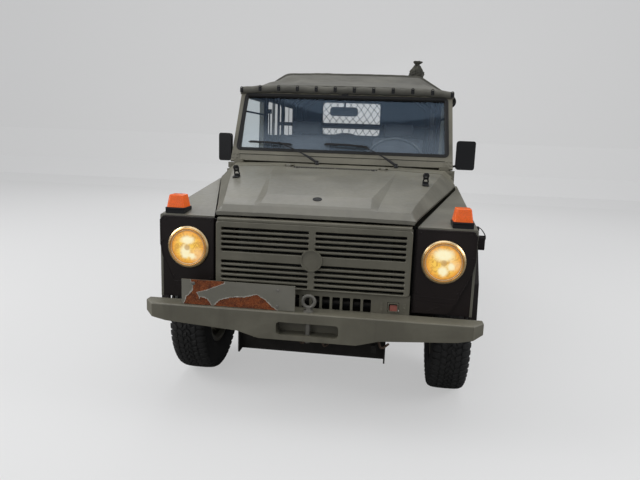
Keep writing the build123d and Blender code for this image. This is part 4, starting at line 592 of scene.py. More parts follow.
for node in NODES:
    dress(node)
for node in ("door_glass_left", "door_glass_right"):
    dress(node, ALL_FINISHES["door_glass"])
dress("steering_wheel", ALL_FINISHES["wheel_rim"])
dress("skid_plate", ALL_FINISHES["chassis_steel"])
panel_paint = paint("panel_paint", tuple(c * 0.93 for c in OLIVE), rough=0.40, gloss=0.9)
for node in ("bonnet", "front_fenders"):
    dress(node, panel_paint)


# Tyres: a bulging carcass with rows of tread blocks that stand on it

TYRE_HALF = (
    # along the axle from the tread's middle, and radius, from the bead to the crown
    (0.0732, 0.2040), (0.0735, 0.217), (0.0840, 0.221), (0.0975, 0.245), (0.1022, 0.280), (0.1005, 0.318),
    (0.0940, 0.345), (0.0840, 0.3600), (0.0600, 0.3655), (0.0300, 0.3672), (0.0, 0.3675))
PROFILE_STEPS = 44
ROUND_STEPS = 96
TREAD_HEIGHT = 0.0075
TREAD_PITCHES = 54
TREAD_ROWS = (
    # each block, outwards across the tread: place, and its low and high edge in pitches
    ((0.0015, 0.42, 0.84), (0.0110, 0.26, 0.70), (0.0200, 0.02, 0.44)),
    ((0.0240, 0.50, 0.92), (0.0320, 0.40, 1.04), (0.0410, 0.46, 1.16), (0.0500, 0.66, 1.20)),
    ((0.0545, 0.10, 0.62), (0.0640, -0.02, 0.76), (0.0760, 0.02, 0.80), (0.0880, 0.08, 0.80),
     (0.0980, 0.14, 0.76)),
)


def tread_block(samples, across, along, radius, normals):
    """One block: its sloping walls and flat top follow the carcass at each place across the tread."""
    pitch = 2 * np.pi / TREAD_PITCHES
    flare = 0.05
    walls = np.array([-flare, -0.01, 0.04, -0.04, 0.01, flare])
    heights = np.array([-0.15, 0.75, 1.0, 1.0, 0.75, -0.15]) * TREAD_HEIGHT
    rows = []
    for index, (place, low, high) in enumerate([samples[0], *samples, samples[-1]]):
        end = index in (0, len(samples) + 1)
        height = np.full(len(heights), heights[0]) if end else heights
        angle = (np.array([low, low, low, high, high, high]) + walls) * pitch
        x = np.interp(place, across, along) + np.interp(place, across, normals[:, 0]) * height
        r = np.interp(place, across, radius) + np.interp(place, across, normals[:, 1]) * height
        rows.append(np.stack([x, r * np.sin(angle), r * np.cos(angle)], -1))
    return woven(rows)


def tyre_shape():
    """Carcass turned about the axle, with every tread block copied round it."""
    half = smooth_line(TYRE_HALF, PROFILE_STEPS)
    outline = np.concatenate([half, (half * (-1, 1))[::-1][1:]])
    carcass = lathe(outline, ROUND_STEPS, closed=True)
    outward = half[::-1]
    across = np.concatenate([[0], np.cumsum(np.linalg.norm(np.diff(outward, axis=0), axis=1))])
    slope = np.gradient(outward, axis=0)
    normals = np.stack([-slope[:, 1], slope[:, 0]], -1)
    normals /= np.linalg.norm(normals, axis=1, keepdims=True)
    one_side = joined(tread_block(row, across, *outward.T, normals) for row in TREAD_ROWS)
    other = one_side.mirrored().turned((1, 0, 0), np.pi / TREAD_PITCHES)
    return carcass + (one_side + other).ring(TREAD_PITCHES)


WHEEL_PLACES = {
    "front_left": (WHEEL_X, y_at(0.0)), "front_right": (-WHEEL_X, y_at(0.0)),
    "rear_left": (WHEEL_X, y_at(WHEELBASE)), "rear_right": (-WHEEL_X, y_at(WHEELBASE)),
}
plain_tyre = tyre_shape()
for corner, (x, y) in WHEEL_PLACES.items():
    tyre_here = plain_tyre.moved(x, y, TYRE_R)
    tyre = make_piece(f"treaded_tyre_{corner}", tyre_here, f"wheel_{corner}", "tyre_rubber", 40)
    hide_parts(f"tyre_{corner}")
spare_low, spare_high = (np.array(c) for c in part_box("spare_tyre"))
spare_middle = (spare_low + spare_high) / 2
spare_shape = plain_tyre.turned((0, 0, 1), math.pi / 2).moved(*spare_middle)
spare = make_piece("treaded_spare_tyre", spare_shape, "tailgate", "tyre_rubber", 40)
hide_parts("spare_tyre")

# Canvas top: one sheet over hoops and sides, a back curtain, and the borders of their windows

CANVAS_FRONT = 0.768
SHOULDER_X = 0.530
EAVE_Z = 1.772
CANVAS_SECTIONS = np.array([
    # station, eave x and height, shoulder x and height
    (CANVAS_FRONT, 0.746, 1.738, SHOULDER_X, 1.757),
    (1.425, 0.744, 1.768, SHOULDER_X, 1.900),
    (1.900, 0.744, EAVE_Z, SHOULDER_X, 1.901),
    (3.600, 0.744, EAVE_Z, SHOULDER_X, 1.896),
])
CANVAS_FOOT = (0.750, 1.2160)
SIDE_FRONT = 1.403
HOOP_STATIONS = (CANVAS_FRONT, 1.425, 1.900, 2.650, 3.440)
SIDE_WINDOWS = ((1.670, 2.260), (2.400, 2.950))
WINDOW_LOW, WINDOW_TOP = 1.420, 1.700
REAR_WINDOW = (-0.500, 0.170, 1.450, 1.815)
BACK_FOOT_S, BACK_TOP_S, BACK_TOP_Z = 3.556, 3.500, 1.950
BACK_BEND_S = 3.40
BACK_HALF = 0.7445
BACK_CREST_Z = 1.893
VALANCE_Z = 1.726
CLOTH_STEP = 0.024
BACK_STEP = 0.03


def back_station(z):
    """Station of the leaning back at a height."""
    return BACK_FOOT_S + (z - CANVAS_FOOT[1]) * (BACK_TOP_S - BACK_FOOT_S) / (BACK_TOP_Z - CANVAS_FOOT[1])


def spans(edges, step):
    """Values from first edge to last with every edge among them, about a step apart."""
    parts = [np.linspace(a, b, max(2, int(round((b - a) / step)) + 1))[:-1] for a, b in zip(edges, edges[1:])]
    return np.concatenate([*parts, [edges[-1]]])


def canvas_grid():
    """Left foot over the roof to the right foot, by station, as x, station and height.

    Straight runs between foot, eave and shoulder are evened out, so that the eaves and shoulders are soft.
    """
    edges = (CANVAS_FRONT, SIDE_FRONT, *np.ravel(SIDE_WINDOWS), BACK_BEND_S, BACK_FOOT_S)
    stations = spans(edges, CLOTH_STEP)
    heights = spans((CANVAS_FOOT[1], WINDOW_LOW, WINDOW_TOP, VALANCE_Z, EAVE_Z), CLOTH_STEP)
    part = (heights - heights[0]) / (heights[-1] - heights[0])
    eave_x, eave_z, shoulder_x, shoulder_z = (
        np.interp(stations, CANVAS_SECTIONS[:, 0], CANVAS_SECTIONS[:, k])[:, None] for k in (1, 2, 3, 4))
    side_x = CANVAS_FOOT[0] + (eave_x - CANVAS_FOOT[0]) * part
    side_z = CANVAS_FOOT[1] + (eave_z - CANVAS_FOOT[1]) * part
    slope = np.linspace(0, 1, 12)[1:]
    slope_x = eave_x + (shoulder_x - eave_x) * slope
    slope_z = eave_z + (shoulder_z - eave_z) * slope
    flat = np.linspace(1, 0, 24)[1:]
    flat_x = shoulder_x * flat
    flat_z = shoulder_z + 0.006 * (1 - flat**2) + 0 * flat_x
    half_x = np.concatenate([side_x, slope_x, flat_x], 1)
    half_z = np.concatenate([side_z, slope_z, flat_z], 1)
    x = np.concatenate([half_x, -half_x[:, ::-1][:, 1:]], 1)
    z = np.concatenate([half_z, half_z[:, ::-1][:, 1:]], 1)
    roof = slice(len(heights) - 4, x.shape[1] - len(heights) + 4)
    x[:, roof] = evened(x)[:, roof]
    z[:, roof] = evened(z)[:, roof]
    s = np.broadcast_to(stations[:, None], x.shape).copy()
    behind = s > BACK_BEND_S
    leaning = (back_station(z[behind]) - BACK_BEND_S) / (BACK_FOOT_S - BACK_BEND_S)
    s[behind] = BACK_BEND_S + (s[behind] - BACK_BEND_S) * leaning
    return x, s, z


def window_share(s, z):
    """1 away from the side windows and 0 at their edges, so that no fold crosses a pane."""
    share = np.ones(s.shape)
    for low, high in SIDE_WINDOWS:
        away = np.maximum.reduce([low - s, s - high, WINDOW_LOW - z, z - WINDOW_TOP])
        share = np.minimum(share, np.clip(away / 0.07, 0, 1))
    return np.where(z > 1.78, 1.0, share)


def canvas_folds(x, s, z):
    """How far the cloth stands out: it sags between hoops, is folded from the front, and ripples."""
    sag = np.zeros(s.shape)
    for low, high in zip(HOOP_STATIONS, HOOP_STATIONS[1:]):
        between = np.clip((s - low) / (high - low), 0, 1)
        sag += np.sin(np.pi * between) ** 2
    roof = np.clip((z - 1.76) / 0.05, 0, 1)
    folds = -0.012 * sag * roof - 0.005 * sag * (1 - roof)
    rise = np.clip((s - 0.80) / 0.62, 0, 1)
    for side, foot, head, height, width in (
            (-1, 0.60, 0.46, 0.016, 0.045), (-1, 0.30, 0.43, 0.012, 0.05), (1, 0.64, 0.50, 0.014, 0.04),
            (1, 0.40, 0.50, 0.008, 0.05), (-1, 0.02, 0.2, 0.006, 0.07)):
        line = side * (foot + (head - foot) * rise)
        swell = np.sin(np.pi * rise) * (s < 1.45)
        folds += height * hump(x, line, width) * swell
        folds -= 0.6 * height * hump(x, line + side * 0.075, width) * swell
    folds += 0.0035 * ripple(s, z + np.abs(x) * 0.6, 0.42, 4) * (0.4 + sag)
    folds += 0.0016 * ripple(s, x + z, 0.13, 9)
    foot = np.clip((z - CANVAS_FOOT[1]) / 0.12, 0, 1)
    front = np.clip((s - CANVAS_FRONT) / 0.10, 0, 1)
    return folds * window_share(s, z) * (0.25 + 0.75 * foot) * np.maximum(front, 0.1)


def pushed_out(x, s, z, amount):
    """Grid moved along its own normals, worked out from its slopes."""
    points = np.stack([x, y_at(s), z], -1)
    normals = np.cross(np.gradient(points, axis=0), np.gradient(points, axis=1))
    normals /= np.maximum(np.linalg.norm(normals, axis=2, keepdims=True), 1e-9)
    middle = normals[points.shape[0] // 2, points.shape[1] // 2, 2]
    return points + normals * (amount[..., None] * np.sign(middle))


def flat_area(shape):
    """Area of a shape's four-sided faces."""
    a, b, c, d = (shape.points[shape.faces[0][:, k]] for k in range(4))
    return float(np.linalg.norm(np.cross(c - a, d - b), axis=1).sum() / 2)


def canvas_cover(points, s, z):
    """The sheet itself, with the faces of both windows and of the door openings left out."""
    shape = woven(points)
    s_mid = s.ravel()[shape.faces[0]].mean(1)
    z_mid = z.ravel()[shape.faces[0]].mean(1)
    side = z_mid < 1.765
    away = (s_mid < SIDE_FRONT) & (z_mid < VALANCE_Z) & side
    for low, high in SIDE_WINDOWS:
        away |= (s_mid > low) & (s_mid < high) & (z_mid > WINDOW_LOW) & (z_mid < WINDOW_TOP) & side
    shape.faces[0] = shape.faces[0][~away]
    return shape


def canvas_back():
    """Back curtain: columns spread between the side edges, with the window's edges among them."""
    low, high, base, top = REAR_WINDOW
    inner = spans((-SHOULDER_X, low, high, SHOULDER_X), BACK_STEP)
    z = spans((CANVAS_FOOT[1], base, EAVE_Z, top, BACK_CREST_Z), BACK_STEP)[:, None]
    narrowing = (BACK_HALF - SHOULDER_X) * (BACK_CREST_Z - z) / (BACK_CREST_Z - EAVE_Z)
    half = np.where(z < EAVE_Z, BACK_HALF, SHOULDER_X + narrowing)
    outer = np.linspace(0, 1, 9)[1:]
    right = -SHOULDER_X - (half - SHOULDER_X) * outer[::-1]
    left = SHOULDER_X + (half - SHOULDER_X) * outer
    x = np.concatenate([right, inner + 0 * z, left], 1)
    z = z + 0 * x
    s = back_station(z)
    away = np.clip(np.maximum.reduce([low - x, x - high, base - z, z - top]) / 0.06, 0, 1)
    folds = (0.004 * ripple(x, z, 0.5, 11) + 0.003 * np.sin(x * 21 + z * 4) * hump(z, 1.30, 0.14)) * away
    edge = np.clip((half - np.abs(x)) / 0.05, 0, 1)
    points = np.stack([x, y_at(s) + folds * edge - 0.001, z], -1)
    shape = woven(points)
    x_mid, z_mid = (v.ravel()[shape.faces[0]].mean(1) for v in (x, z))
    shape.faces[0] = shape.faces[0][~((x_mid > low) & (x_mid < high) & (z_mid > base) & (z_mid < top))]
    return shape


BAND_X = 0.7465
BAND_PROFILE = (
    # growth outwards from the pane, and height above the canvas
    (0.0, -0.004), (0.001, 0.003), (0.006, 0.004), (0.011, 0.003), (0.024, 0.003), (0.029, 0.004),
    (0.034, 0.003), (0.035, -0.004),
)


def window_band(x, s_range, z_range):
    """Sewn border round a side window: two ridges of stitching round a flat tape with round corners."""
    rings = []
    wide, tall = s_range[1] - s_range[0], z_range[1] - z_range[0]
    for grow, out in BAND_PROFILE:
        outline = rounded_outline(wide + 2 * grow, tall + 2 * grow, 0.04 + grow, 7)
        rings.append(np.stack([
            np.full(len(outline), x + out), y_at(sum(s_range) / 2) + outline[:, 0],
            sum(z_range) / 2 + outline[:, 1]], -1))
    return tube(rings)


x_grid, s_grid, z_grid = canvas_grid()
canvas_points = pushed_out(x_grid, s_grid, z_grid, canvas_folds(x_grid, s_grid, z_grid))
cover = canvas_cover(canvas_points, s_grid, z_grid)
# The wall's inside gets a near-black bluish finish: painted shade inside the cab
canvas_sheet = make_piece("canvas_cover", cover, "chassis", "canvas", 60, wall=0.004, inside="shaded_canvas_inside")
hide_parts("canvas_top")
back = canvas_back()
back_sheet = make_piece("canvas_back_curtain", back, "chassis", "canvas", 60, wall=0.004, inside="shaded_canvas_inside")

bands = joined(window_band(BAND_X, window, (WINDOW_LOW, WINDOW_TOP)) for window in SIDE_WINDOWS)
rear_band = window_band(0.0, (0.0, REAR_WINDOW[1] - REAR_WINDOW[0]), (0.0, REAR_WINDOW[3] - REAR_WINDOW[2]))
flat = rear_band.points
rear_x = -(flat[:, 1] - y_at(0.0)) + REAR_WINDOW[1]
rear_z = flat[:, 2] + REAR_WINDOW[2]
rear_band = Shape(np.stack([rear_x, y_at(back_station(rear_z)) + flat[:, 0], rear_z], -1), *rear_band.faces)
make_piece("window_bands", bands.both_sides() + rear_band, "chassis", "canvas", 50)
flat_area(cover)
flat_area(back)


# Hem over the windscreen's top rail: a rolled band with twelve turn buttons on it

HEM_BUTTONS = 12
HEM_X = 0.728
HEM_HALF = 0.742
HEM_S, HEM_Z = 0.771, 1.738
HEM_STEPS = 241


def hem_drop(across):
    """How far the rail falls towards its ends, which are at -1 and 1."""
    return np.clip((np.abs(across) - 0.70) / 0.30, 0, 1) ** 1.5 * 0.017


def hem_band():
    """Band that runs across the rail and a little way back at both ends, fuller between the buttons."""
    across = np.linspace(-1, 1, HEM_STEPS)
    x = across * HEM_HALF
    back = np.clip((np.abs(across) - 0.975) / 0.025, 0, 1) * 0.02
    drop = hem_drop(across)
    between = np.abs(np.sin(np.pi * (x + HEM_X) / (2 * HEM_X) * (HEM_BUTTONS - 1)))
    belly = 0.30 + 0.70 * between**0.6
    profile = np.array([(0.010, 0.018), (-0.004, 0.021), (-0.014, 0.014), (-0.0175, 0.002), (-0.017, -0.012),
                        (-0.0135, -0.022), (-0.006, -0.0285), (0.003, -0.027), (0.004, 0.0)])
    rows = []
    for out, up in profile:
        full = out - 0.007 * belly * (out < -0.003) * (1 - abs(up) / 0.03)
        rows.append(np.stack([x, y_at(HEM_S + full + back), HEM_Z - drop + up + 0.0015 * np.sin(x * 60)], -1))
    return tube(np.array(rows).transpose(1, 0, 2))


def turn_button():
    """Small black hook: a plate on the band, a stud, a turned toggle over it and a wire loop."""
    plate = plate_at((0, 0, 0), (0.022, 0.030), 0.006, (0, -0.002, 0))
    stud = lathe([(0.0, 0.0), (0.0, 0.0048), (-0.010, 0.0048), (-0.012, 0.0)], 10, axis=1)
    toggle = plate_at((0, 0, 0), (0.009, 0.026), 0.004, (0, -0.004, 0)).moved(y=-0.008)
    angles = np.linspace(0, 2 * np.pi, 12, endpoint=False)
    circle = [(0.009 * np.sin(a), 0.001, 0.017 + 0.007 * np.cos(a)) for a in angles]
    loop = rod(circle, 0.0022, 6, (0, 1, 0), closed=True)
    return plate + stud + toggle + loop


make_piece("canvas_hem", hem_band(), "chassis", "canvas", 70)
button_x = np.linspace(-HEM_X, HEM_X, HEM_BUTTONS)
button_z = 1.735 - hem_drop(button_x / HEM_HALF)
buttons = turn_button().copies([(x, y_at(0.7515), z) for x, z in zip(button_x, button_z)])
make_piece("hem_turn_buttons", buttons, "chassis", "black_plastic", 35)

# Buttons along the lower edge of the canvas sides

side_places = [(0.7515, y_at(s), BELT_Z + 0.028) for s in np.linspace(1.52, 3.44, 9)]
side_buttons = turn_button().turned((0, 0, 1), math.pi / 2).copies(side_places)
make_piece("side_turn_buttons", side_buttons.both_sides(), "chassis", "black_plastic", 35)

# Tied bag on the roof and the rolled side curtain below the left eave

BAG = (0.498, y_at(1.500), 1.901)
BAG_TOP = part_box("canvas_bundles")[1][2] - BAG[2]
BAG_DRAWN_TOP = 0.107
ROLL_X = 0.7849
ROLL_FRONT, ROLL_LENGTH = 1.418, 0.474
ROLL_TURNS = 2.6
ROLL_INNER_R, ROLL_R = 0.011, 0.0375
TIE_STATIONS = (1.546, 1.770)
TIE_R = 0.0385


def bag_shape():
    """Sack turned about its own upright: slumped foot, sides drawn in to a tied neck, and a ruffled mouth."""
    profile = smooth_line([
        (0.000, 0.0), (0.000, 0.040), (0.006, 0.053), (0.022, 0.056), (0.045, 0.047), (0.066, 0.032),
        (0.082, 0.017), (0.086, 0.0175), (0.094, 0.026), (0.103, 0.029), (0.106, 0.018), (0.098, 0.0)], 64)
    profile[:, 0] *= BAG_TOP / BAG_DRAWN_TOP
    angle = np.linspace(0, 2 * np.pi, 72, endpoint=False)
    up, radius = profile[:, :1], profile[:, 1:]
    share = np.clip(up / (0.75 * BAG_TOP), 0, 1)
    pleats = 0.15 * share * np.sin(angle * 9 + 5 * up / BAG_TOP) + 0.05 * np.sin(angle * 2 + 1.0)
    pleats = pleats + 0.05 * share * np.sin(angle * 17 + 2.0)
    pleats = pleats + 0.13 * ripple(angle * 0.05, up + 0 * angle, 0.04, 21)
    ruffle = np.clip((up / BAG_TOP - 0.80) / 0.2, 0, 1) * 0.34 * np.sin(angle * 5 + 0.5)
    full = radius * (1 + pleats + ruffle)
    x = BAG[0] + full * np.cos(angle) + 0.006 * share
    y = BAG[1] + full * np.sin(angle) * 0.92
    points = np.stack([x, y, BAG[2] + up + 0 * full], -1)
    return tube(points)


def roll_shape():
    """Curtain rolled up on itself: a spiral section carried along the eave, pinched by two straps."""
    angle = np.linspace(0, ROLL_TURNS * 2 * np.pi, 80)
    outer = ROLL_INNER_R + (ROLL_R - ROLL_INNER_R) * angle / angle[-1]
    spiral = np.stack([outer * np.cos(angle), outer * np.sin(angle)], -1)
    inner = spiral * (1 - 0.0035 / outer)[:, None]
    section = np.concatenate([spiral, inner[::-1]])
    stations = np.linspace(0, 1, 60)
    pinch = 1 - 0.16 * hump(stations, 0.27, 0.035) - 0.16 * hump(stations, 0.74, 0.035)
    pinch = pinch + 0.02 * np.sin(stations * 40)
    x = ROLL_X + 0.003 * np.sin(stations * 9)[:, None] + section[None, :, 0] * pinch[:, None]
    z = 1.732 - 0.004 * np.sin(stations * np.pi)[:, None] + section[None, :, 1] * pinch[:, None]
    y = y_at(ROLL_FRONT + ROLL_LENGTH * stations)[:, None] + 0 * x
    return lidded(tube(np.stack([x, y, z], -1)), len(stations), len(spiral))


bag = make_piece("tied_canvas_bag", bag_shape(), "chassis", "mottled_canvas", 70)
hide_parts("canvas_bundles")
roll = make_piece("rolled_side_curtain", roll_shape(), "chassis", "dark_canvas", 70)
straps = []
for station in TIE_STATIONS:
    loop = [(ROLL_X + TIE_R * np.cos(a), y_at(station), 1.729 + TIE_R * np.sin(a))
            for a in np.linspace(0, 6.283, 29)[:-1]]
    straps.append(swept(loop, tape(0.010, 0.001), (0, 1, 0), closed=True))
neck = [(BAG[0] + 0.019 * np.cos(a), BAG[1] + 0.018 * np.sin(a), BAG[2] + 0.078 * BAG_TOP / BAG_DRAWN_TOP)
        for a in np.linspace(0, 6.283, 25)[:-1]]
ties = joined([*straps, rod(neck, 0.0028, 8, closed=True)])
make_piece("bundle_ties", ties, "chassis", "black_rubber", 40)

# Front seats and rear benches, filled out by a cloth simulation

SEAT_X = 0.385
END_SHRINK = 0.03 * 1.4
END_POINTS = 7
CLOTH_VOXEL = 0.009
CLOTH_FRAMES = 16
CLOTH_PRESSURE = 4.0
GROOVE_WIDTH = 0.006
GROOVE_DEPTH = 0.007


def cushion_start(x_half, points):
    """Soft slab to be filled: an outline in station and height, carried across and drawn in at its ends."""
    outline = np.asarray(points, float)
    middle = outline.mean(0)
    across = np.concatenate([[-1.0], np.linspace(-0.97, 0.97, 15), [1.0]])
    shrink = 1 - END_SHRINK * np.abs(across) ** 8
    shrink[0] = shrink[-1] = 0.6
    rows = []
    for place, scale in zip(across, shrink):
        line = middle + (outline - middle) * scale
        rows.append(np.stack([np.full(len(line), place * x_half), y_at(line[:, 0]), line[:, 1]], -1))
    made = tube(rows)
    count = len(outline)
    last = (len(across) - 1) * count
    made.faces += [np.array([np.arange(count)[::-1]]), np.array([np.arange(count) + last])]
    return made


def slab_outline(low, high, depth):
    """Closed outline of a slab between two points in station and height, with round ends."""
    low, high = np.asarray(low, float), np.asarray(high, float)
    ahead = (high - low) / np.linalg.norm(high - low)
    aside = np.array([-ahead[1], ahead[0]])
    angle = np.linspace(-np.pi / 2, np.pi / 2, END_POINTS)
    half = depth / 2
    end = np.stack([np.sin(angle), np.cos(angle)], -1)
    tip = high - ahead * half * 0.6 + end[:, :1] * aside * -half + end[:, 1:] * ahead * half * 0.6
    tail = low + ahead * half * 0.6 + end[:, :1] * aside * half - end[:, 1:] * ahead * half * 0.6
    steps = np.linspace(0, 1, 7)[1:-1, None]
    under = tip[-1] + (tail[0] - tip[-1]) * steps
    over = tail[-1] + (tip[0] - tail[-1]) * steps
    return np.concatenate([tip, under, tail, over])


def filled(piece, cap):
    """Blow the closed form up as cloth under pressure, cap how far each point moves, and keep the result."""
    remesh = piece.modifiers.new("remesh", "REMESH")
    remesh.mode = "VOXEL"
    remesh.voxel_size = CLOTH_VOXEL
    bake_modifiers(piece)
    start = places_of(piece.data)
    cloth = piece.modifiers.new("cloth", "CLOTH")
    cloth.settings.use_pressure = True
    cloth.settings.uniform_pressure_force = CLOTH_PRESSURE
    cloth.settings.effector_weights.gravity = 0.0
    scene = bpy.context.scene
    for step in range(1, CLOTH_FRAMES + 1):
        scene.frame_set(step)
    depsgraph = bpy.context.evaluated_depsgraph_get()
    blown = places_of(piece.evaluated_get(depsgraph).data)
    piece.modifiers.clear()
    scene.frame_set(1)
    move = blown - start
    length = np.linalg.norm(move, axis=1, keepdims=True)
    kept = start + move * np.minimum(1.0, cap / np.maximum(length, 1e-9))
    piece.data.vertices.foreach_set("co", kept.ravel())
    piece.data.update()
    piece.data.shade_smooth()


def places_of(mesh):
    """A mesh's points as rows."""
    flat = np.empty(len(mesh.vertices) * 3, np.float32)
    mesh.vertices.foreach_get("co", flat)
    return flat.reshape(-1, 3).astype(float)


def bake_modifiers(piece):
    """Replace a piece's mesh by what its modifiers make of it."""
    depsgraph = bpy.context.evaluated_depsgraph_get()
    baked = bpy.data.meshes.new_from_object(piece.evaluated_get(depsgraph))
    piece.modifiers.clear()
    piece.data = baked


def grooves(piece, lines):
    """Press sewn channels into a finished cushion: points near each line move in along their normals."""
    mesh = piece.data
    points = places_of(mesh)
    normals = np.empty(len(mesh.vertices) * 3, np.float32)
    mesh.vertices.foreach_get("normal", normals)
    normals = normals.reshape(-1, 3)
    press = np.zeros(len(points))
    for direction, place in lines:
        press = np.maximum(press, hump(points @ np.asarray(direction, float), place, GROOVE_WIDTH))
    points -= normals * (press * GROOVE_DEPTH)[:, None]
    mesh.vertices.foreach_set("co", points.ravel())
    mesh.update()


SEAT_OUTLINES = {
    # half its width, its outline in station and height, and how far the cloth may swell
    "cushion": (0.218, slab_outline((0.965, 0.905), (1.415, 0.905), 0.10), 0.012),
    "back": (0.218, slab_outline((1.432, 0.965), (1.548, 1.435), 0.088), 0.012),
    "head_rest": (0.118, slab_outline((1.556, 1.442), (1.571, 1.540), 0.070), 0.008),
}
for part, (half, outline, cap) in SEAT_OUTLINES.items():
    left = make_piece(f"seat_{part}_left", cushion_start(half, outline), "chassis", "seat_cloth", 80)
    filled(left, cap)
    ahead = np.array([0.0, 1.0, 0.0]) if part == "cushion" else np.array([0.0, 0.24, 0.97])
    if part != "head_rest":
        reach = places_of(left.data) @ ahead
        places = np.linspace(reach.min(), reach.max(), 7)[1:-1]
        grooves(left, [(ahead, place) for place in places] + [((1, 0, 0), -0.155), ((1, 0, 0), 0.155)])
    points = places_of(left.data)
    right = left.copy()
    right.data = left.data.copy()
    right.name = f"seat_{part}_right"
    bpy.context.scene.collection.objects.link(right)
    for piece, offset in ((left, SEAT_X), (right, -SEAT_X)):
        piece.data.vertices.foreach_set("co", (points + (offset, 0, 0)).ravel())
        piece.data.update()
        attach(piece, "chassis")
        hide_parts("seats")


BENCH_X = (0.432, 0.690)
BENCH_S = (2.326, 3.436)
BENCH_FOOT_Z = 0.9425


def bench_shape(side):
    """Long crowned pad: its top swells between sewn rows and its edges are round."""
    along = np.linspace(0, 1, 90)
    across = np.linspace(-1, 1, 21)
    (x_low, x_high), (s_low, s_high) = BENCH_X, BENCH_S
    edge = (1 - np.abs(across) ** 6) ** 0.5
    ends = (1 - np.abs(2 * along - 1) ** 24) ** 0.5
    quilt = 0.75 + 0.25 * np.abs(np.sin(along * np.pi * 9)) ** 0.4
    top = 0.955 + 0.052 * edge[None] * ends[:, None] * quilt[:, None]
    x = (x_low + x_high) / 2 + (x_high - x_low) / 2 * across
    y = y_at(s_low + (s_high - s_low) * along)
    grid = np.stack([np.broadcast_to(side * x, top.shape), np.broadcast_to(y[:, None], top.shape), top], -1)
    under = grid[:, ::-1].copy()
    under[..., 2] = BENCH_FOOT_Z
    return lidded(tube(np.concatenate([grid, under], 1)), len(along), len(across))


for side, name in ((1, "left"), (-1, "right")):
    pad = make_piece(f"bench_pad_{name}", bench_shape(side), "chassis", "seat_cloth", 60)
    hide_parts("seats")


SEAT_FLOOR_Z = 0.6725


def seat_frame():
    """Folded box below the cushion with a lip, runners on the floor and struts up behind the back."""
    base = plate_at((0, y_at(1.20), SEAT_FLOOR_Z), (0.36, 0.38), 0.03, (0, 0, 0.175))
    lip = plate_at((0, y_at(1.19), 0.846), (0.43, 0.43), 0.03, (0, 0, 0.010))
    post_line = [(0.17, y_at(1.44), 0.86), (0.17, y_at(1.50), 0.95), (0.17, y_at(1.604), 1.40)]
    posts = rod(post_line, 0.011, 8, (1, 0, 0))
    bar = rod([(-0.17, y_at(1.604), 1.395), (0.17, y_at(1.604), 1.395)], 0.011, 8)
    stalks = rod([(0.06, y_at(1.562), 1.40), (0.062, y_at(1.566), 1.47)], 0.006, 8, (1, 0, 0))
    runners = block((0.15, y_at(0.99), SEAT_FLOOR_Z), (0.18, y_at(1.43), 0.690))
    return base + lip + posts.both_sides() + bar + stalks.both_sides() + runners.both_sides()


frames = seat_frame().moved(SEAT_X) + seat_frame().moved(-SEAT_X)
make_piece("seat_frames", frames, "chassis", "black_paint", 35, bevel=0.003)


# Windscreen: rubber seal, groove of the lower band, hinge bolts and wipers

SCREEN_FOOT = (y_at(0.566), 1.242)
SCREEN_RAKE = math.atan2(0.210, 0.480)
GLASS_CORNER = 0.016


def on_screen(x, up, out=0.0):
    """Point on the windscreen plane: x, distance up it and distance out from it."""
    x, up, out = np.broadcast_arrays(np.asarray(x, float), up, out)
    return np.stack([
        x, SCREEN_FOOT[0] + up * math.sin(SCREEN_RAKE) - out * math.cos(SCREEN_RAKE),
        SCREEN_FOOT[1] + up * math.cos(SCREEN_RAKE) + out * math.sin(SCREEN_RAKE)], -1)


def glass_outline(grow):
    """The glass opening's outline on the screen plane, grown outwards, as x and distance up it."""
    angle = np.linspace(0, np.pi / 2, 6)
    points = []
    for turn, (x, up) in enumerate(((0.690, 0.488), (-0.690, 0.488), (-0.706, 0.086), (0.706, 0.086))):
        side, top = (1, -1, -1, 1)[turn], (1, 1, -1, -1)[turn]
        a = angle + turn * np.pi / 2
        reach = GLASS_CORNER + grow
        points.append(np.stack([
            x - side * GLASS_CORNER + reach * np.cos(a), up - top * GLASS_CORNER + reach * np.sin(a)], -1))
    return np.concatenate(points)


SEAL_PROFILE = (
    # growth beyond the glass opening, and distance out from the screen plane
    (0.001, -0.012), (-0.011, -0.0115), (-0.0125, -0.009), (-0.010, -0.006), (-0.004, 0.0005),
    (0.001, 0.0035), (0.005, 0.0015), (0.009, 0.0042), (0.013, 0.0040), (0.0145, 0.0006), (0.004, -0.001),
)


def screen_seal():
    """Rubber profile with two lips and a groove between them."""
    return woven([on_screen(*glass_outline(grow).T, out) for grow, out in SEAL_PROFILE], True, True)


make_piece("windscreen_seal", screen_seal(), "chassis", "black_rubber", 60)


def bolt_head(radius=0.006, height=0.004):
    """Domed six-sided head on a washer, standing up along z."""
    rim = radius * 1.45
    washer = lathe([(0.0, 0.0), (0.0, rim), (0.0012, rim), (0.0014, radius * 0.9)], 16, axis=2)
    head = lathe([(0.001, radius), (height * 0.8, radius), (height, radius * 0.8), (height, 0.0)], 6, axis=2)
    return washer + head


def bolts_at(places, outward, head):
    """A head at each place, its axis turned to point outward."""
    turn = np.array(Vector((0, 0, 1)).rotation_difference(Vector(outward)).to_matrix())
    turned = Shape(head.points @ turn.T, *head.faces)
    return turned.copies(places)


screen_out = on_screen(0.0, 0.0, 1.0) - on_screen(0.0, 0.0, 0.0)
leaf_places = [on_screen(x, up, 0.005) for up in (0.040, 0.016) for x in (0.707, 0.733)]
leaf_bolts = bolts_at(leaf_places, screen_out, bolt_head())
lower_places = [(x, y_at(0.538), z) for x, z in ((0.707, 1.212), (0.738, 1.212), (0.722, 1.198))]
lower_bolts = bolts_at(lower_places, (0, -1, 0), bolt_head(0.005))
make_piece("screen_hinge_bolts", (leaf_bolts + lower_bolts).both_sides(), "chassis", "olive_paint", 30)

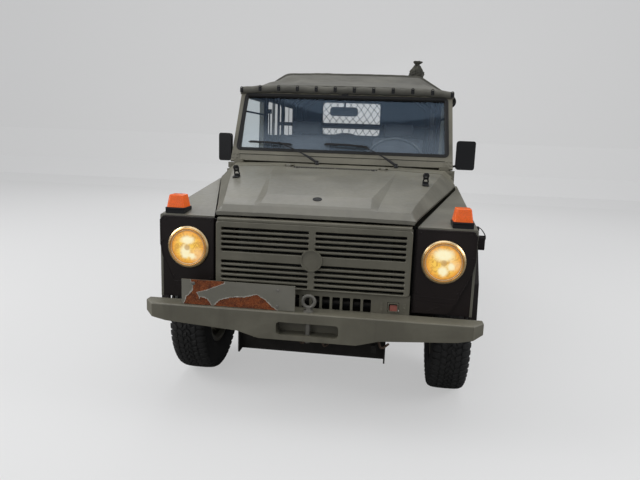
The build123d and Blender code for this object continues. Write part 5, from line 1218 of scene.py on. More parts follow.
band = np.linspace(-0.735, 0.735, 61)
fold_section = [(-0.0016, -0.0006), (0.0016, -0.0006), (0.0016, 0.0004), (-0.0016, 0.0004)]
fold = swept(on_screen(band, 0.043, 0.0004), fold_section, screen_out)
make_piece("screen_band_groove", fold, "chassis", "black_rubber", 40)
ledge_section = [(-0.003, -0.002), (-0.003, 0.0015), (0.0, 0.0030), (0.003, 0.0015), (0.003, -0.002)]
ledge = swept(on_screen(band, 0.0475, 0.0), ledge_section, screen_out)
make_piece("screen_band_bead", ledge, "chassis", "olive_paint", 40)

WIPERS = (
    # pivot x, arm's end, blade's left and right end: x and distance up the screen
    (-0.141, (-0.420, 0.130), (-0.640, 0.137), (-0.330, 0.124)),
    (0.379, (0.140, 0.129), (-0.115, 0.138), (0.190, 0.126)),
)


def bowed(line, foot, rise):
    """Line of points that stands out from the screen: a little at both ends and more in its middle."""
    return line + screen_out * (foot + rise * np.sin(np.pi * np.linspace(0, 1, len(line))))[:, None]


def wiper(pivot_x, end, left, right):
    """Cap and spindle, tapering sprung arm, and a blade with its bridge, claws and rubber."""
    pivot = np.array((pivot_x, y_at(0.500), 1.2449))
    tip = on_screen(*end, 0.016)
    cap = lathe([(-0.013, 0.0), (-0.013, 0.013), (-0.004, 0.0135), (0.002, 0.010), (0.012, 0.010),
                 (0.015, 0.007), (0.016, 0.0)], 20, axis=2).moved(*pivot)
    steps = np.linspace(0, 1, 24)
    arch = np.array((0, 0, 0.020)) * (np.sin(np.pi * steps**0.7) * 0.5)[:, None]
    path = pivot + (tip - pivot) * steps[:, None] + arch
    wide = np.interp(steps, [0, 0.12, 0.3, 0.42, 1], [0.008, 0.009, 0.0065, 0.0042, 0.0034])
    flat = [(-1, -0.45), (-0.8, 0.35), (0, 0.55), (0.8, 0.35), (1, -0.45)]
    arm = swept(path, flat, screen_out)
    section = arm.points.reshape(len(steps), len(flat), 3) - path[:, None]
    arm.points = (path[:, None] + section * wide[:, None, None]).reshape(-1, 3)
    spring = rod(path[2:9] - screen_out * 0.004, 0.0035, 8)
    blade_line = np.linspace(0, 1, 33)[:, None]
    left_at, right_at = on_screen(*left, 0.0), on_screen(*right, 0.0)
    run = left_at + (right_at - left_at) * blade_line
    rubber_section = [
        (-0.0012, -0.0035), (-0.0035, 0.003), (-0.003, 0.0055), (0.003, 0.0055), (0.0035, 0.003),
        (0.0012, -0.0035)]
    rubber = swept(run + screen_out * -0.0055, rubber_section, screen_out)
    bow = bowed(run[4:-4], 0.002, 0.010)
    bridge = swept(bow, [(-0.0075, -0.001), (-0.006, 0.0012), (0.006, 0.0012), (0.0075, -0.001)], screen_out)
    claw_section = [(-0.0085, -0.001), (-0.007, 0.001), (0.007, 0.001), (0.0085, -0.001)]
    claw_lines = (bowed(run[low:high], 0.0005, 0.005) for low, high in ((1, 10), (23, 32)))
    claws = joined(swept(line, claw_section, screen_out) for line in claw_lines)
    middle = np.argmin(np.linalg.norm(bow - tip, axis=1))
    clip = block((-0.007, -0.010, -0.005), (0.007, 0.010, 0.006)).turned((1, 0, 0), -SCREEN_RAKE)
    clip = clip.moved(*bow[middle])
    return cap + arm + spring + rubber + bridge + claws + clip


wipers = wiper(*WIPERS[0]) + wiper(*WIPERS[1])
wiper_piece = make_piece("wiper_arms_and_blades", wipers, "chassis", "black_plastic", 35)
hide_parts("wipers")

# Inside mirror, instruments, switches, lid and grab rail of the dashboard, and the seat belts

MIRROR_MIDDLE = (-0.003, y_at(0.795), 1.594)


def inside_mirror():
    """Rounded shell, its bent stem and its foot."""
    layers = ((0.0, 0.90), (-0.004, 0.98), (0.004, 1.0), (0.014, 0.93), (0.020, 0.70), (0.021, 0.0))
    shell = stacked(rounded_outline(0.196, 0.062, 0.022, 7), layers)
    stem_line = [(0.0, 0.018, 0.010), (0.004, 0.024, 0.040), (0.006, 0.004, 0.085), (0.006, -0.022, 0.122)]
    stem = rod(smooth_line(stem_line, 16), 0.006, 10, (1, 0, 0))
    foot = block((-0.016, -0.034, 0.108), (0.028, -0.014, 0.128))
    return (shell + stem + foot).moved(*MIRROR_MIDDLE)


make_piece("inside_mirror", inside_mirror(), "chassis", "black_plastic", 40)

POD = (0.365, y_at(0.714) - 0.010, 1.222)
DIALS = (
    # x and z from the pod's middle, and radius
    (-0.052, 0.004, 0.036), (0.034, 0.010, 0.030), (0.086, -0.004, 0.017), (0.012, -0.028, 0.012),
)


def dial(x, z, radius):
    """Raised bezel with a sunk face, and the ticks and needle on it."""
    rim = [(0.0, radius), (0.006, radius), (0.007, radius * 0.93), (0.002, radius * 0.88), (0.001, 0.0)]
    bezel = lathe(rim, 40, axis=1)
    tick = block((-0.0006, 0.002, radius * 0.62), (0.0006, 0.0026, radius * 0.80))
    ticks = tick.ring(12, axis=1, share=0.8, start=2.2)
    needle = block((-0.0008, 0.003, -radius * 0.15), (0.0008, 0.004, radius * 0.7)).turned((0, 1, 0), 2.1)
    return [part.moved(POD[0] + x, POD[1], POD[2] + z) for part in (bezel, ticks + needle)]


dial_rings, dial_marks = (joined(parts) for parts in zip(*(dial(*place) for place in DIALS)))
make_piece("instrument_dials", dial_rings, "chassis", "black_plastic", 40)
make_piece("dial_marks", dial_marks, "chassis", "white_mark", 40)


def dash_face(height):
    """Station of the dashboard's rear face at a height."""
    return float(np.interp(height, [1.010, 1.120, 1.195], [0.640, 0.740, 0.745]))


SWITCH_X = (0.10, 0.145, 0.190, 0.235, 0.52, 0.56, 0.60)
OUTLET_X = (-0.64, -0.06, 0.06, 0.66)
knob = lathe([
    (0.0, 0.0), (0.0, 0.010), (0.004, 0.011), (0.006, 0.007), (0.014, 0.0075), (0.016, 0.006), (0.017, 0.0)],
    14, axis=1)
switches = [knob.moved(x, y_at(dash_face(1.150)), 1.155) for x in SWITCH_X]
outlet = lathe([(0.0, 0.030), (0.008, 0.031), (0.010, 0.028), (0.004, 0.024), (0.003, 0.0)], 28, axis=1)
slats = [block((-0.021, 0.003, step - 0.0012), (0.021, 0.007, step + 0.0012))
         for step in (-0.016, -0.008, 0.0, 0.008, 0.016)]
outlet = joined([outlet, *slats])
outlets = [outlet.moved(x, y_at(0.7447), 1.165) for x in OUTLET_X]
lid = plate_at((-0.36, y_at(0.7455), 1.142), (0.40, 0.082), 0.014, (0, 0.006, 0))
latch = knob.moved(-0.36, y_at(0.7515), 1.168)
rail_line = [(-0.60, y_at(0.735), 1.218), (-0.59, y_at(0.748), 1.240), (-0.50, y_at(0.752), 1.246),
             (-0.22, y_at(0.752), 1.246), (-0.13, y_at(0.748), 1.240), (-0.12, y_at(0.735), 1.218)]
rail = rod(smooth_line(rail_line, 40), 0.008, 10, (1, 0, 0))
dash_parts = joined([*switches, *outlets, lid, latch, rail])
make_piece("dash_fittings", dash_parts, "chassis", "black_plastic", 40, bevel=0.0008)


def seat_belt_reel(side):
    """Reel on the rear of the door opening with its strap up to a loop on the hoop."""
    reel = plate_at((side * 0.690, y_at(1.440), 0.760), (0.07, 0.10), 0.02, (side * -0.035, 0, 0))
    strap_line = [(0.672, 1.440, 0.80), (0.668, 1.432, 1.10), (0.674, 1.428, 1.48), (0.676, 1.428, 1.60)]
    path = smooth_line([(side * x, y_at(s), z) for x, s, z in strap_line], 30)
    strap = swept(path, tape(0.023, 0.0008), (1, 0, 0))
    loop = block((side * 0.660, y_at(1.412), 1.590), (side * 0.690, y_at(1.440), 1.625))
    return reel + strap + loop


make_piece("seat_belts", seat_belt_reel(1) + seat_belt_reel(-1), "chassis", "black_rubber", 40)

# Rear window: the net and the band behind its pane; straps and bars in the side windows

NET_Y = y_at(3.395)


def window_net():
    """Sagging diamond net hung behind the rear window's pane: two sets of slanted cords that cross."""
    cords = []
    low_x, high_x, low_z, high_z = -0.53, 0.20, 1.36, 1.835
    for direction in (1, -1):
        for start in np.arange(low_x - 0.46, high_x + 0.46, 0.078):
            z = np.linspace(high_z, low_z, 15)
            x = start + direction * (high_z - z) * 0.80 + 0.010 * np.sin(z * 23 + start * 7)
            inside = (x > low_x) & (x < high_x)
            if inside.sum() < 3:
                continue
            x, z = x[inside], z[inside]
            y = NET_Y - 0.012 * np.sin(z * 6) + 0.0016 * direction + 0 * x
            cords.append(rod(np.stack([x, y, z], -1), 0.0030, 4, (0, 1, 0)))
    for height, sag in ((1.842, 0.008), (1.352, 0.0)):
        x = np.linspace(low_x, high_x, 24)
        z = height - sag * np.sin(np.pi * (x - low_x) / (high_x - low_x))
        cords.append(rod(np.stack([x, np.full(len(x), NET_Y), z], -1), 0.0045, 6))
    return joined(cords)


make_piece("load_net", window_net(), "chassis", "black_rubber", 60)
net_band = block((-0.52, y_at(3.381), 1.519), (0.26, y_at(3.387), 1.580))
make_piece("rear_window_band", net_band, "chassis", "dark_canvas", 40)

STRAP_SHARES = (0.62, 0.30)
window_straps = []
for side in (-1, 1):
    for (s_low, s_high), share in zip(SIDE_WINDOWS, STRAP_SHARES):
        y = y_at(s_low + (s_high - s_low) * share)
        window_straps.append(block((side * 0.7290, y - 0.010, 1.40), (side * 0.7320, y + 0.010, 1.72)))
    window_straps.append(block((side * 0.708, y_at(0.80), 1.572), (side * 0.716, y_at(1.372), 1.584)))
make_piece("window_straps", joined(window_straps), "chassis", "black_rubber", 40)

# Headlamps: bulb with its hood, fluted lens and the rings round it

LAMP_AT = (0.622, y_at(-0.590), 0.855)
LENS_R = 0.0868


def lens_shape():
    """Bulging lens: its face falls away with the square of the radius, and low upright flutes stand on it."""
    radius = np.linspace(0, 1, 31)[:, None] * LENS_R
    angle = np.linspace(0, 2 * np.pi, 120, endpoint=False)[None]
    x, z = radius * np.cos(angle), radius * np.sin(angle)
    inner = np.clip((0.072 - radius) / 0.006, 0, 1)
    flute = 0.0009 * np.abs(np.sin(x * np.pi / 0.0095)) * inner * (z < 0.042)
    cross = 0.0008 * np.abs(np.sin(z * np.pi / 0.012)) * inner * (z > 0.042)
    out = 0.0165 * (1 - (radius / LENS_R) ** 2) ** 0.8 + flute + cross
    return woven(np.stack([x, -0.0005 - out, z], -1), False, True)


def bulb_shape():
    """Socket collar, glass bulb and the small hood on two wires in front of it."""
    collar = lathe([(0.066, 0.0), (0.066, 0.016), (0.056, 0.016), (0.054, 0.011), (0.054, 0.0)], 20, axis=1)
    glass = lathe([(0.054, 0.009), (0.040, 0.010), (0.030, 0.0095), (0.024, 0.006), (0.022, 0.0)], 20, axis=1)
    hood = lathe([(0.019, 0.0), (0.019, 0.011), (0.027, 0.012), (0.027, 0.0)], 20, axis=1)
    wire = rod([(0.012, 0.054, 0.0), (0.0125, 0.030, 0.0), (0.010, 0.023, 0.0)], 0.0012, 6)
    return collar + glass + hood + wire + wire.mirrored()


def lamp_glow():
    """Glowing lens glass: golden towards its rim, near white in a few soft zones, with a brown middle."""
    finish = Finish("lamp_glow", 0.12)
    x, z = finish.axis(0), finish.axis(2) - LAMP_AT[2]
    x_left, x_right = x - LAMP_AT[0], x + LAMP_AT[0]
    out = (x_left * x_left).low(x_right * x_right) ** 0.5
    reach = (out * out + z * z) ** 0.5
    streaks = finish.noise(26.0, 3.0, 0.6, 0.6)
    wavy = finish.noise(55.0, 2.0, 0.5, 1.5)

    def zone(centre_x, centre_z, radius, stretch=1.0):
        offset_x, offset_z = x - centre_x, (z - centre_z) * stretch
        apart = (offset_x * offset_x + offset_z * offset_z) ** 0.5 + (streaks - 0.5) * 0.030
        return 1.0 - apart.step(radius * 0.35, radius)

    gold = finish.mix(reach.step(0.045, 0.088), (0.96, 0.60, 0.10), (0.84, 0.32, 0.035))
    gold = finish.mix(wavy.step(0.42, 0.62) * 0.8, gold, (0.60, 0.30, 0.05))
    peach = zone(-0.575, -0.040, 0.050) + zone(0.668, -0.010, 0.040)
    gold = finish.mix(peach * 0.6, gold, (1.0, 0.62, 0.30))
    bright = zone(-0.622, 0.036, 0.046, 1.7) + zone(-0.632, -0.020, 0.036, 0.8) + zone(-0.596, -0.044, 0.022)
    bright = bright + zone(0.620, 0.036, 0.064, 1.6) + zone(0.620, -0.040, 0.034) + zone(0.656, -0.016, 0.026)
    bright = bright.low(1.0)
    glow = finish.mix(bright * (0.75 + wavy * 0.4), gold, (1.0, 0.93, 0.62))
    hood = (1.0 - reach.step(0.009, 0.019)) * 0.75
    glow = finish.mix(hood, glow, (0.52, 0.33, 0.14))
    rim = reach.step(0.0775, 0.081) * (1.0 - reach.step(0.0835, 0.0865)) * 0.8
    glow = finish.mix(rim, glow, (0.45, 0.20, 0.05))
    finish.set("Base Color", (0.10, 0.07, 0.03, 1.0))
    finish.set("Specular IOR Level", 0.25)
    finish.set("Emission Color", glow)
    finish.set("Emission Strength", 0.92)
    return finish.material


ALL_FINISHES["lamp_glow"] = lamp_glow()

lens = make_piece("fluted_lamp_lenses", lens_shape().moved(*LAMP_AT).both_sides(), "chassis", "lamp_glow", 60)
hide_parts("headlamp_lenses")
bulbs = bulb_shape().moved(LAMP_AT[0], y_at(-0.578), LAMP_AT[2]).both_sides()
make_piece("lamp_bulbs", bulbs, "chassis", "bare_steel", 40)
# The rings' amber and pale gold colours are painted lamp glow on chrome
for name, finish, profile in (
        ("lamp_outer_rings", "lamp_ring",
         [(-0.0055, 0.0965), (-0.0078, 0.0955), (-0.0092, 0.0925), (-0.0085, 0.0895), (-0.0060, 0.0880)]),
        ("lamp_inner_rings", "pale_ring",
         [(-0.0060, 0.0868), (-0.0095, 0.0860), (-0.0100, 0.0835), (-0.0080, 0.0815)])):
    rings = lathe(profile, 96, axis=1).moved(*LAMP_AT).both_sides()
    make_piece(name, rings, "chassis", finish, 60, wall=0.001)

# Direction indicators: ribbed covers with a flat top, two screws and a rubber foot

INDICATOR_AT = (0.7035, y_at(-0.5015))
INDICATOR_RIBS = 22


def indicator_shape():
    """Tapering cover with round corners, its walls ribbed across."""
    rows = []
    for step in np.linspace(0, 1, INDICATOR_RIBS * 4 + 1):
        up = 0.0434 + 0.0595 * step
        rib = 0.0007 * abs(math.sin(step * np.pi * INDICATOR_RIBS))
        shrink = 0.0098 * step
        outline = rounded_outline(0.0905 - 2 * shrink + 2 * rib, 0.1005 - 2 * shrink + 2 * rib, 0.011, 7)
        rows.append([(x, y, 1.0 + up) for x, y in outline])
    for share, up in ((0.96, 0.1047), (0.88, 0.1053), (0.0, 0.1053)):
        rows.append([(x * share, y * share, 1.0 + up) for x, y in rounded_outline(0.0709, 0.0809, 0.011, 7)])
    return tube(rows)


amber_covers = indicator_shape().moved(*INDICATOR_AT).both_sides()
amber = make_piece("indicator_covers", amber_covers, "chassis", "amber_plastic", 50)
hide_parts("indicator_lenses")
screw = lathe([(0.0, 0.0), (0.0, 0.0042), (0.0012, 0.0036), (0.0016, 0.0)], 12, axis=2)
screws = screw.copies([(INDICATOR_AT[0], INDICATOR_AT[1] + y, 1.1050) for y in (-0.030, 0.030)])
make_piece("indicator_screws", screws.both_sides(), "chassis", "bare_steel", 40)
lip_rows = []
for grow, z in ((-0.004, 1.0415), (0.0005, 1.0412), (0.0018, 1.0395), (0.0018, 1.0350), (0.0, 1.0330)):
    outline = rounded_outline(0.098 + 2 * grow, 0.108 + 2 * grow, 0.012, 7)
    lip_rows.append([(x + INDICATOR_AT[0], y + INDICATOR_AT[1], z) for x, y in outline])
make_piece("indicator_lips", tube(lip_rows).both_sides(), "chassis", "black_rubber", 50, wall=0.0015)

# Lamp panels: raised lip round the edge, a seam above the lower plate and screws

PANEL_Y = y_at(-0.585)
PANEL_EDGE = [
    (0.497, 0.603), (0.497, 1.001), (0.750, 1.001), (0.7665, 0.984), (0.7665, 0.865), (0.7545, 0.802),
    (0.7005, 0.680)]
PANEL_SEAM = [(0.497, 0.684), (0.690, 0.676), (0.7005, 0.680)]
LOWER_PLATE = [(0.500, 0.6025), (0.648, 0.6045), (0.664, 0.614), (0.687, 0.655), (0.500, 0.660)]
PANEL_SCREWS = [
    (0.508, 0.990), (0.740, 0.990), (0.508, 0.700), (0.757, 0.880), (0.700, 0.705), (0.508, 0.630)]
SHORT_STEP = 0.01


def dense(points):
    """Straight runs between points, cut into short steps."""
    points = np.asarray(points, float)
    parts = []
    for a, b in zip(points, points[1:]):
        count = max(2, int(np.linalg.norm(b - a) / SHORT_STEP))
        parts.append(a + (b - a) * np.linspace(0, 1, count, endpoint=False)[:, None])
    return np.concatenate([*parts, points[-1:]])


def ribbon(outline, out, width=0.0022, height=0.0018):
    """Low raised bead along a line of x and z points, a distance out from the lamp panel."""
    path = [(x, PANEL_Y - out, z) for x, z in dense(outline)]
    section = [(-width, -height), (-width * 0.7, height * 0.7), (0, height), (width * 0.7, height * 0.7),
               (width, -height)]
    return swept(path, section, (0, -1, 0))


lower_plate = prism([(x, PANEL_Y - 0.0003, z) for x, z in LOWER_PLATE], (0, -0.0022, 0))
screw_places = [(x, PANEL_Y - 0.0003, z) for x, z in PANEL_SCREWS]
gasket = lathe([(0.0, 0.1075), (-0.0022, 0.1070), (-0.0030, 0.1045), (-0.0022, 0.1035)], 72, axis=1)
panel_parts = joined([
    ribbon(PANEL_EDGE, 0.0005), ribbon(PANEL_SEAM, 0.0005), lower_plate,
    ribbon([(0.560, 0.610), (0.640, 0.648)], 0.0026, 0.003, 0.0015),
    bolts_at(screw_places, (0, -1, 0), bolt_head(0.004, 0.003)),
    gasket.moved(LAMP_AT[0], PANEL_Y, LAMP_AT[2])])
make_piece("lamp_panel_trim", panel_parts.both_sides(), "chassis", "black_paint", 35)

# Behind the grille: radiator fins and tubes, horns, the side baffles and the lower lamp bracket

fin = block((-0.372, y_at(-0.5425), -0.0006), (0.372, y_at(-0.5395), 0.0006))
fins = fin.copies([(0, 0, z) for z in np.arange(0.640, 0.990, 0.0085)])
core_tube = block((-0.0028, y_at(-0.5440), 0.636), (0.0028, y_at(-0.5390), 0.990))
core_tubes = core_tube.copies([(x, 0, 0) for x in np.linspace(-0.368, 0.368, 41)])
make_piece("radiator_core", fins + core_tubes, "chassis", "radiator_alloy", 30)
horn_bowl = lathe([
    (-0.020, 0.0), (-0.020, 0.014), (-0.016, 0.018), (-0.014, 0.030), (-0.018, 0.033), (-0.012, 0.040),
    (-0.004, 0.047), (0.004, 0.048), (0.012, 0.044), (0.020, 0.030), (0.024, 0.0)], 40, axis=1)
horn_ribs = block((0.020, -0.0155, -0.0015), (0.044, -0.005, 0.0015)).ring(8, axis=1)
horn = horn_bowl + horn_ribs + block((-0.012, 0.004, -0.075), (0.012, 0.010, -0.02))
horns = horn.moved(-0.232, y_at(-0.566), 0.905) + horn.moved(0.330, y_at(-0.566), 0.750)
posts = joined(block((x, y_at(-0.568), 0.690), (x + 0.012, y_at(-0.552), 0.985)) for x in (0.246, 0.152))
rung = block((0.158, y_at(-0.564), -0.003), (0.252, y_at(-0.556), 0.003))
rungs = rung.copies([(0, 0, z) for z in np.arange(0.705, 0.98, 0.030)])
make_piece("horns_and_ladder", horns + posts + rungs, "chassis", "chassis_steel", 35)
baffles = block((0.381, y_at(-0.512), 0.585), (0.492, y_at(-0.506), 1.004)).both_sides()
baffles = baffles + block((-0.492, y_at(-0.512), 0.585), (0.492, y_at(-0.506), 0.628))
lip_corners = ((-0.466, -0.618), (0.466, -0.618), (0.470, -0.556), (-0.470, -0.556))
top_lip = prism([(x, y_at(s), 0.998) for x, s in lip_corners], (0, 0, 0.016))
make_piece("grille_top_lip", top_lip, "chassis", "olive_paint", 35, bevel=0.004)
make_piece("grille_baffles", baffles, "chassis", "black_rubber", 30)
frame_layers = ((0.010, 1.0), (-0.004, 1.0), (-0.006, 0.94), (-0.006, 0.80), (0.004, 0.78))
lens_frame = stacked(rounded_outline(0.052, 0.046, 0.008), frame_layers, (0.400, y_at(-0.600), 0.622))
clips = (block((0.336, y_at(-0.603), 0.598), (0.352, y_at(-0.600), 0.646))
         + block((0.446, y_at(-0.603), 0.604), (0.462, y_at(-0.600), 0.640)))
clip_places = [(x, y_at(-0.603), z) for x, z in ((0.344, 0.608), (0.344, 0.636), (0.454, 0.622))]
clip_bolts = bolts_at(clip_places, (0, -1, 0), bolt_head(0.004, 0.003))
make_piece("lower_lamp_frame", lens_frame + clips + clip_bolts, "chassis", "olive_paint", 35)
small_lens = plate_at((0.402, y_at(-0.597), 0.618), (0.036, 0.030), 0.006, (0, -0.004, 0))
make_piece("lower_lamp_lens", small_lens, "chassis", "pink_plastic", 40, bevel=0.001)

# Blank plate on the bumper: paint that has flaked off rust in a few patches, and three bolts

PLATE_LOW, PLATE_HIGH = (-0.622, 0.592), (-0.063, 0.716)
RUST_PATCHES = (
    # outlines as shares of the plate's length and height
    ((0.08, 1.02), (0.38, 1.02), (0.375, 0.92), (0.31, 0.80), (0.22, 0.62), (0.13, 0.50), (0.155, 0.30),
     (0.15, -0.02), (0.02, -0.02), (0.045, 0.30), (0.10, 0.55), (0.105, 0.75)),
    ((0.17, 0.32), (0.23, 0.25), (0.27, -0.02), (0.12, -0.02), (0.15, 0.16)),
    ((0.29, -0.02), (0.34, 0.24), (0.44, 0.38), (0.56, 0.42), (0.665, 0.56), (0.74, 0.38), (0.795, 0.14),
     (0.85, -0.02)),
)


def edge_distance(u, v, outline):
    """Distance to the nearest edge of an outline, below zero inside it, where crossings are counted."""
    inside = np.zeros(u.shape, bool)
    nearest = np.full(u.shape, 9.0)
    for (ax, ay), (bx, by) in zip(outline, outline[1:] + outline[:1]):
        run_x, run_y = bx - ax, by - ay
        part = np.clip(((u - ax) * run_x + (v - ay) * run_y) / (run_x**2 + run_y**2), 0, 1)
        nearest = np.minimum(nearest, np.hypot(u - ax - part * run_x, v - ay - part * run_y))
        cross = (v < ay) != (v < by)
        inside ^= cross & (u < ax + (v - ay) * run_x / (run_y if run_y else 1e-9))
    return np.where(inside, -nearest, nearest)


def plate_paint():
    """Fine grid over the plate's face, and how bare and how lifted each point of it is.

    The paint layer ends in jagged, lifted edges round the rust.
    """
    along = np.linspace(PLATE_LOW[0], PLATE_HIGH[0], 420)
    up = np.linspace(PLATE_LOW[1] + 0.0004, PLATE_HIGH[1], 96)
    x, z = np.meshgrid(along, up, indexing="ij")
    jag_x = x + 0.0022 * ripple(x, z, 0.024, 3) + 0.0010 * ripple(x, z, 0.009, 5)
    jag_z = z + 0.0022 * ripple(x, z, 0.026, 7) + 0.0010 * ripple(x, z, 0.010, 8)
    width, height = PLATE_HIGH[0] - PLATE_LOW[0], PLATE_HIGH[1] - PLATE_LOW[1]
    away = np.minimum.reduce([
        edge_distance(jag_x - PLATE_LOW[0], jag_z - PLATE_LOW[1],
                      [(a * width, b * height) for a, b in outline])
        for outline in RUST_PATCHES])
    layer = np.clip(away / 0.0016, 0, 1)
    lift = np.clip(0.5 + 0.5 * ripple(x, z, 0.05, 12), 0, 1)
    curl = hump(away, 0.0022, 0.0016 + 0.0022 * lift)
    pitted = 0.0003 * (1 - layer) * ripple(x, z, 0.012, 6)
    y = y_at(-0.683) - 0.0003 - 0.0006 * layer - 0.0007 * curl - pitted
    lifted = np.clip(1.3 * hump(away, 0.0010, 0.0010 + 0.0030 * lift), 0, 1)
    return woven(np.stack([x, y, z], -1)), 1 - layer, lifted


def rusted_plate():
    """Dull paint, its pale lifted edges, and mottled rust where the plate is bare."""
    finish = Finish("rusted_plate", 0.6)
    bare, flake = (
        Value(finish, finish.node("ShaderNodeAttribute", {"attribute_name": name}).outputs["Fac"])
        for name in ("bare", "flake"))
    speck = finish.noise(260.0, 5.0, 0.7)
    cloud = finish.noise(38.0, 4.0)
    coat = finish.mix(finish.noise(6.0, 4.0).step(0.35, 0.7), (0.170, 0.162, 0.130), (0.205, 0.195, 0.160))
    coat = finish.mix(finish.noise(90.0, 3.0, 0.7).step(0.66, 0.72) * 0.7, coat, (0.30, 0.28, 0.22))
    coat = finish.mix(flake, coat, (0.52, 0.50, 0.44))
    rust = finish.mix(cloud.step(0.3, 0.7), (0.070, 0.013, 0.004), (0.230, 0.050, 0.010))
    rust = finish.mix(speck.step(0.45, 0.68), rust, (0.36, 0.12, 0.035))
    rust = finish.mix((1.0 - speck.step(0.30, 0.42)) * 0.8, rust, (0.030, 0.010, 0.006))
    finish.set("Base Color", finish.mix(bare, coat, rust))
    finish.set("Roughness", 0.5 + bare * 0.4 + (speck - 0.5) * 0.2)
    finish.bump(speck * (0.15 + bare * 1.0) + cloud * bare * 0.5, 0.0011)
    return finish.material


ALL_FINISHES["rusted_plate"] = rusted_plate()
plate_sheet, bare_share, flake_share = plate_paint()
plate_piece = make_piece("plate_paint_and_rust", plate_sheet, "chassis", "rusted_plate", 80)
for attribute, share in (("bare", bare_share), ("flake", flake_share)):
    store = plate_piece.data.attributes.new(attribute, "FLOAT", "POINT")
    store.data.foreach_set("value", share.ravel().astype(np.float32))
bolt_places = [(x, y_at(-0.6838), z) for x, z in ((-0.563, 0.697), (-0.147, 0.691), (-0.149, 0.611))]
plate_bolts = bolts_at(bolt_places, (0, -1, 0), bolt_head(0.0065))
make_piece("plate_bolts", plate_bolts, "chassis", "bare_steel", 30)

# Screen rests on the bonnet: sprung black loops with a strap and a foot

REST_AT = (0.548, y_at(0.004))


def screen_rest():
    """Foot on the bonnet, two bent legs, a cross strap and a ring at the top."""
    foot = prism([(x, y, 1.163 + 0.150 * y) for x, y in rounded_outline(0.036, 0.058, 0.008)], (0, 0, 0.009))
    bend = [(0.011, 0.016, 1.168), (0.014, 0.012, 1.188), (0.009, 0.000, 1.203), (0.014, -0.010, 1.220),
            (0.008, -0.014, 1.2325)]
    legs = rod(smooth_line(bend, 20), 0.0042, 8, (1, 0, 0))
    legs = legs + legs.mirrored()
    top = rod([(-0.010, -0.014, 1.2315), (0.010, -0.014, 1.2315)], 0.0050, 8)
    strap = block((-0.015, -0.004, 1.198), (0.015, 0.004, 1.211))
    strap = strap + block((-0.014, 0.010, 1.174), (0.014, 0.020, 1.186))
    pad = plate_at((0, -0.014, 1.214), (0.022, 0.014), 0.004, (0, 0, 0.014))
    return (foot + legs + top + strap + pad).moved(*REST_AT)


rests = make_piece("sprung_screen_rests", screen_rest().both_sides(), "bonnet", "black_rubber", 40)
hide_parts("screen_rests")

# Bonnet: plug in the middle and washer jets; slots of the cowl

BONNET_FALL = math.atan2(0.035, 0.117)
plug = lathe([
    (0.0, 0.0235), (0.0022, 0.0225), (0.0030, 0.0190), (0.0018, 0.0165), (0.0022, 0.0120), (0.0026, 0.0)],
    40, axis=2)
plug = plug.turned((1, 0, 0), BONNET_FALL).moved(0.0, y_at(-0.475), 1.1096)
jet = lathe([(0.0, 0.0095), (0.003, 0.009), (0.006, 0.006), (0.007, 0.0)], 14, axis=2)
jets = jet.copies([(x, y_at(0.300), 1.2165) for x in (-0.240, 0.240)])
make_piece("bonnet_plug_and_jets", plug + jets, "bonnet", "black_rubber", 35)
cowl_slots = block((-0.512, y_at(0.478), 1.2372), (-0.455, y_at(0.490), 1.2388))
cowl_slots = cowl_slots + block((0.440, y_at(0.478), 1.2372), (0.495, y_at(0.490), 1.2388))
make_piece("cowl_slots", cowl_slots, "chassis", "black_rubber", 30)

# Two banks of small vents across the rear of the bonnet

VENT_COUNT = 17
VENT_PITCH = 0.0155
VENT_ENDS = ((y_at(0.309), 1.2240), (y_at(0.327), 1.2259))
vent_corners = [(-0.0042, y, z) for y, z in VENT_ENDS] + [(0.0042, y, z) for y, z in VENT_ENDS[::-1]]
vent = prism(vent_corners, (0, 0, -0.007))
vent_x = [side * (index + 0.7) * VENT_PITCH for side in (-1, 1) for index in range(VENT_COUNT)]
make_piece("bonnet_vents", vent.copies([(x, 0, 0) for x in vent_x]), "bonnet", "black_rubber", 30)


def soften(node, width):
    """Merge a CAD node's loose triangles and turn its sharp edges over a small radius."""
    piece = NODES[node]
    weld = piece.modifiers.new("weld", "WELD")
    weld.merge_threshold = 0.00005
    rounded_edges(piece, width, 20).harden_normals = True


for node, width in (("bonnet", 0.003), ("front_bumper", 0.002), ("grille", 0.0012)):
    soften(node, width)

# Sides: rivets along the belt and sills, side lamps, filler cap, catch straps, mud flaps and wheel nuts

RIVET_S = np.concatenate([np.arange(1.44, 2.46, 0.085), np.arange(3.26, 3.54, 0.070)])
RIVET_Z = np.arange(0.70, 1.16, 0.075)
rivet = lathe([(0.0, 0.0), (0.0, 0.0050), (0.0016, 0.0038), (0.0022, 0.0)], 8, axis=0)
rivet_rows = [(s, z) for z in (1.196, 0.640) for s in RIVET_S]
rivet_columns = [(s, z) for s in (1.425, 3.520) for z in RIVET_Z]
rivets = rivet.copies([(BODY_X, y_at(s), z) for s, z in rivet_rows + rivet_columns])
make_piece("body_rivets", rivets.both_sides(), "chassis", "olive_paint", 40)


def lamp_on_side(name, station, height, size, body_x):
    """Small oblong amber lamp on a rubber foot, on both sides."""
    place = (body_x, y_at(station), height)
    foot = plate_at(place, (size[0] + 0.012, size[1] + 0.012), 0.008, (0.005, 0, 0))
    layers = ((0.004, 1.0), (0.010, 0.98), (0.0135, 0.90), (0.0145, 0.6), (0.0145, 0.0))
    lens = stacked(rounded_outline(*size, 0.006), layers, place, axis=0)
    make_piece(f"{name}_feet", foot.both_sides(), "chassis", "black_rubber", 40)
    make_piece(f"{name}_lenses", lens.both_sides(), "chassis", "amber_plastic", 50)


lamp_on_side("side_turn_lamp", 0.420, 0.985, (0.060, 0.030), 0.775)
lamp_on_side("side_marker", 2.380, 0.660, (0.070, 0.028), BODY_X)

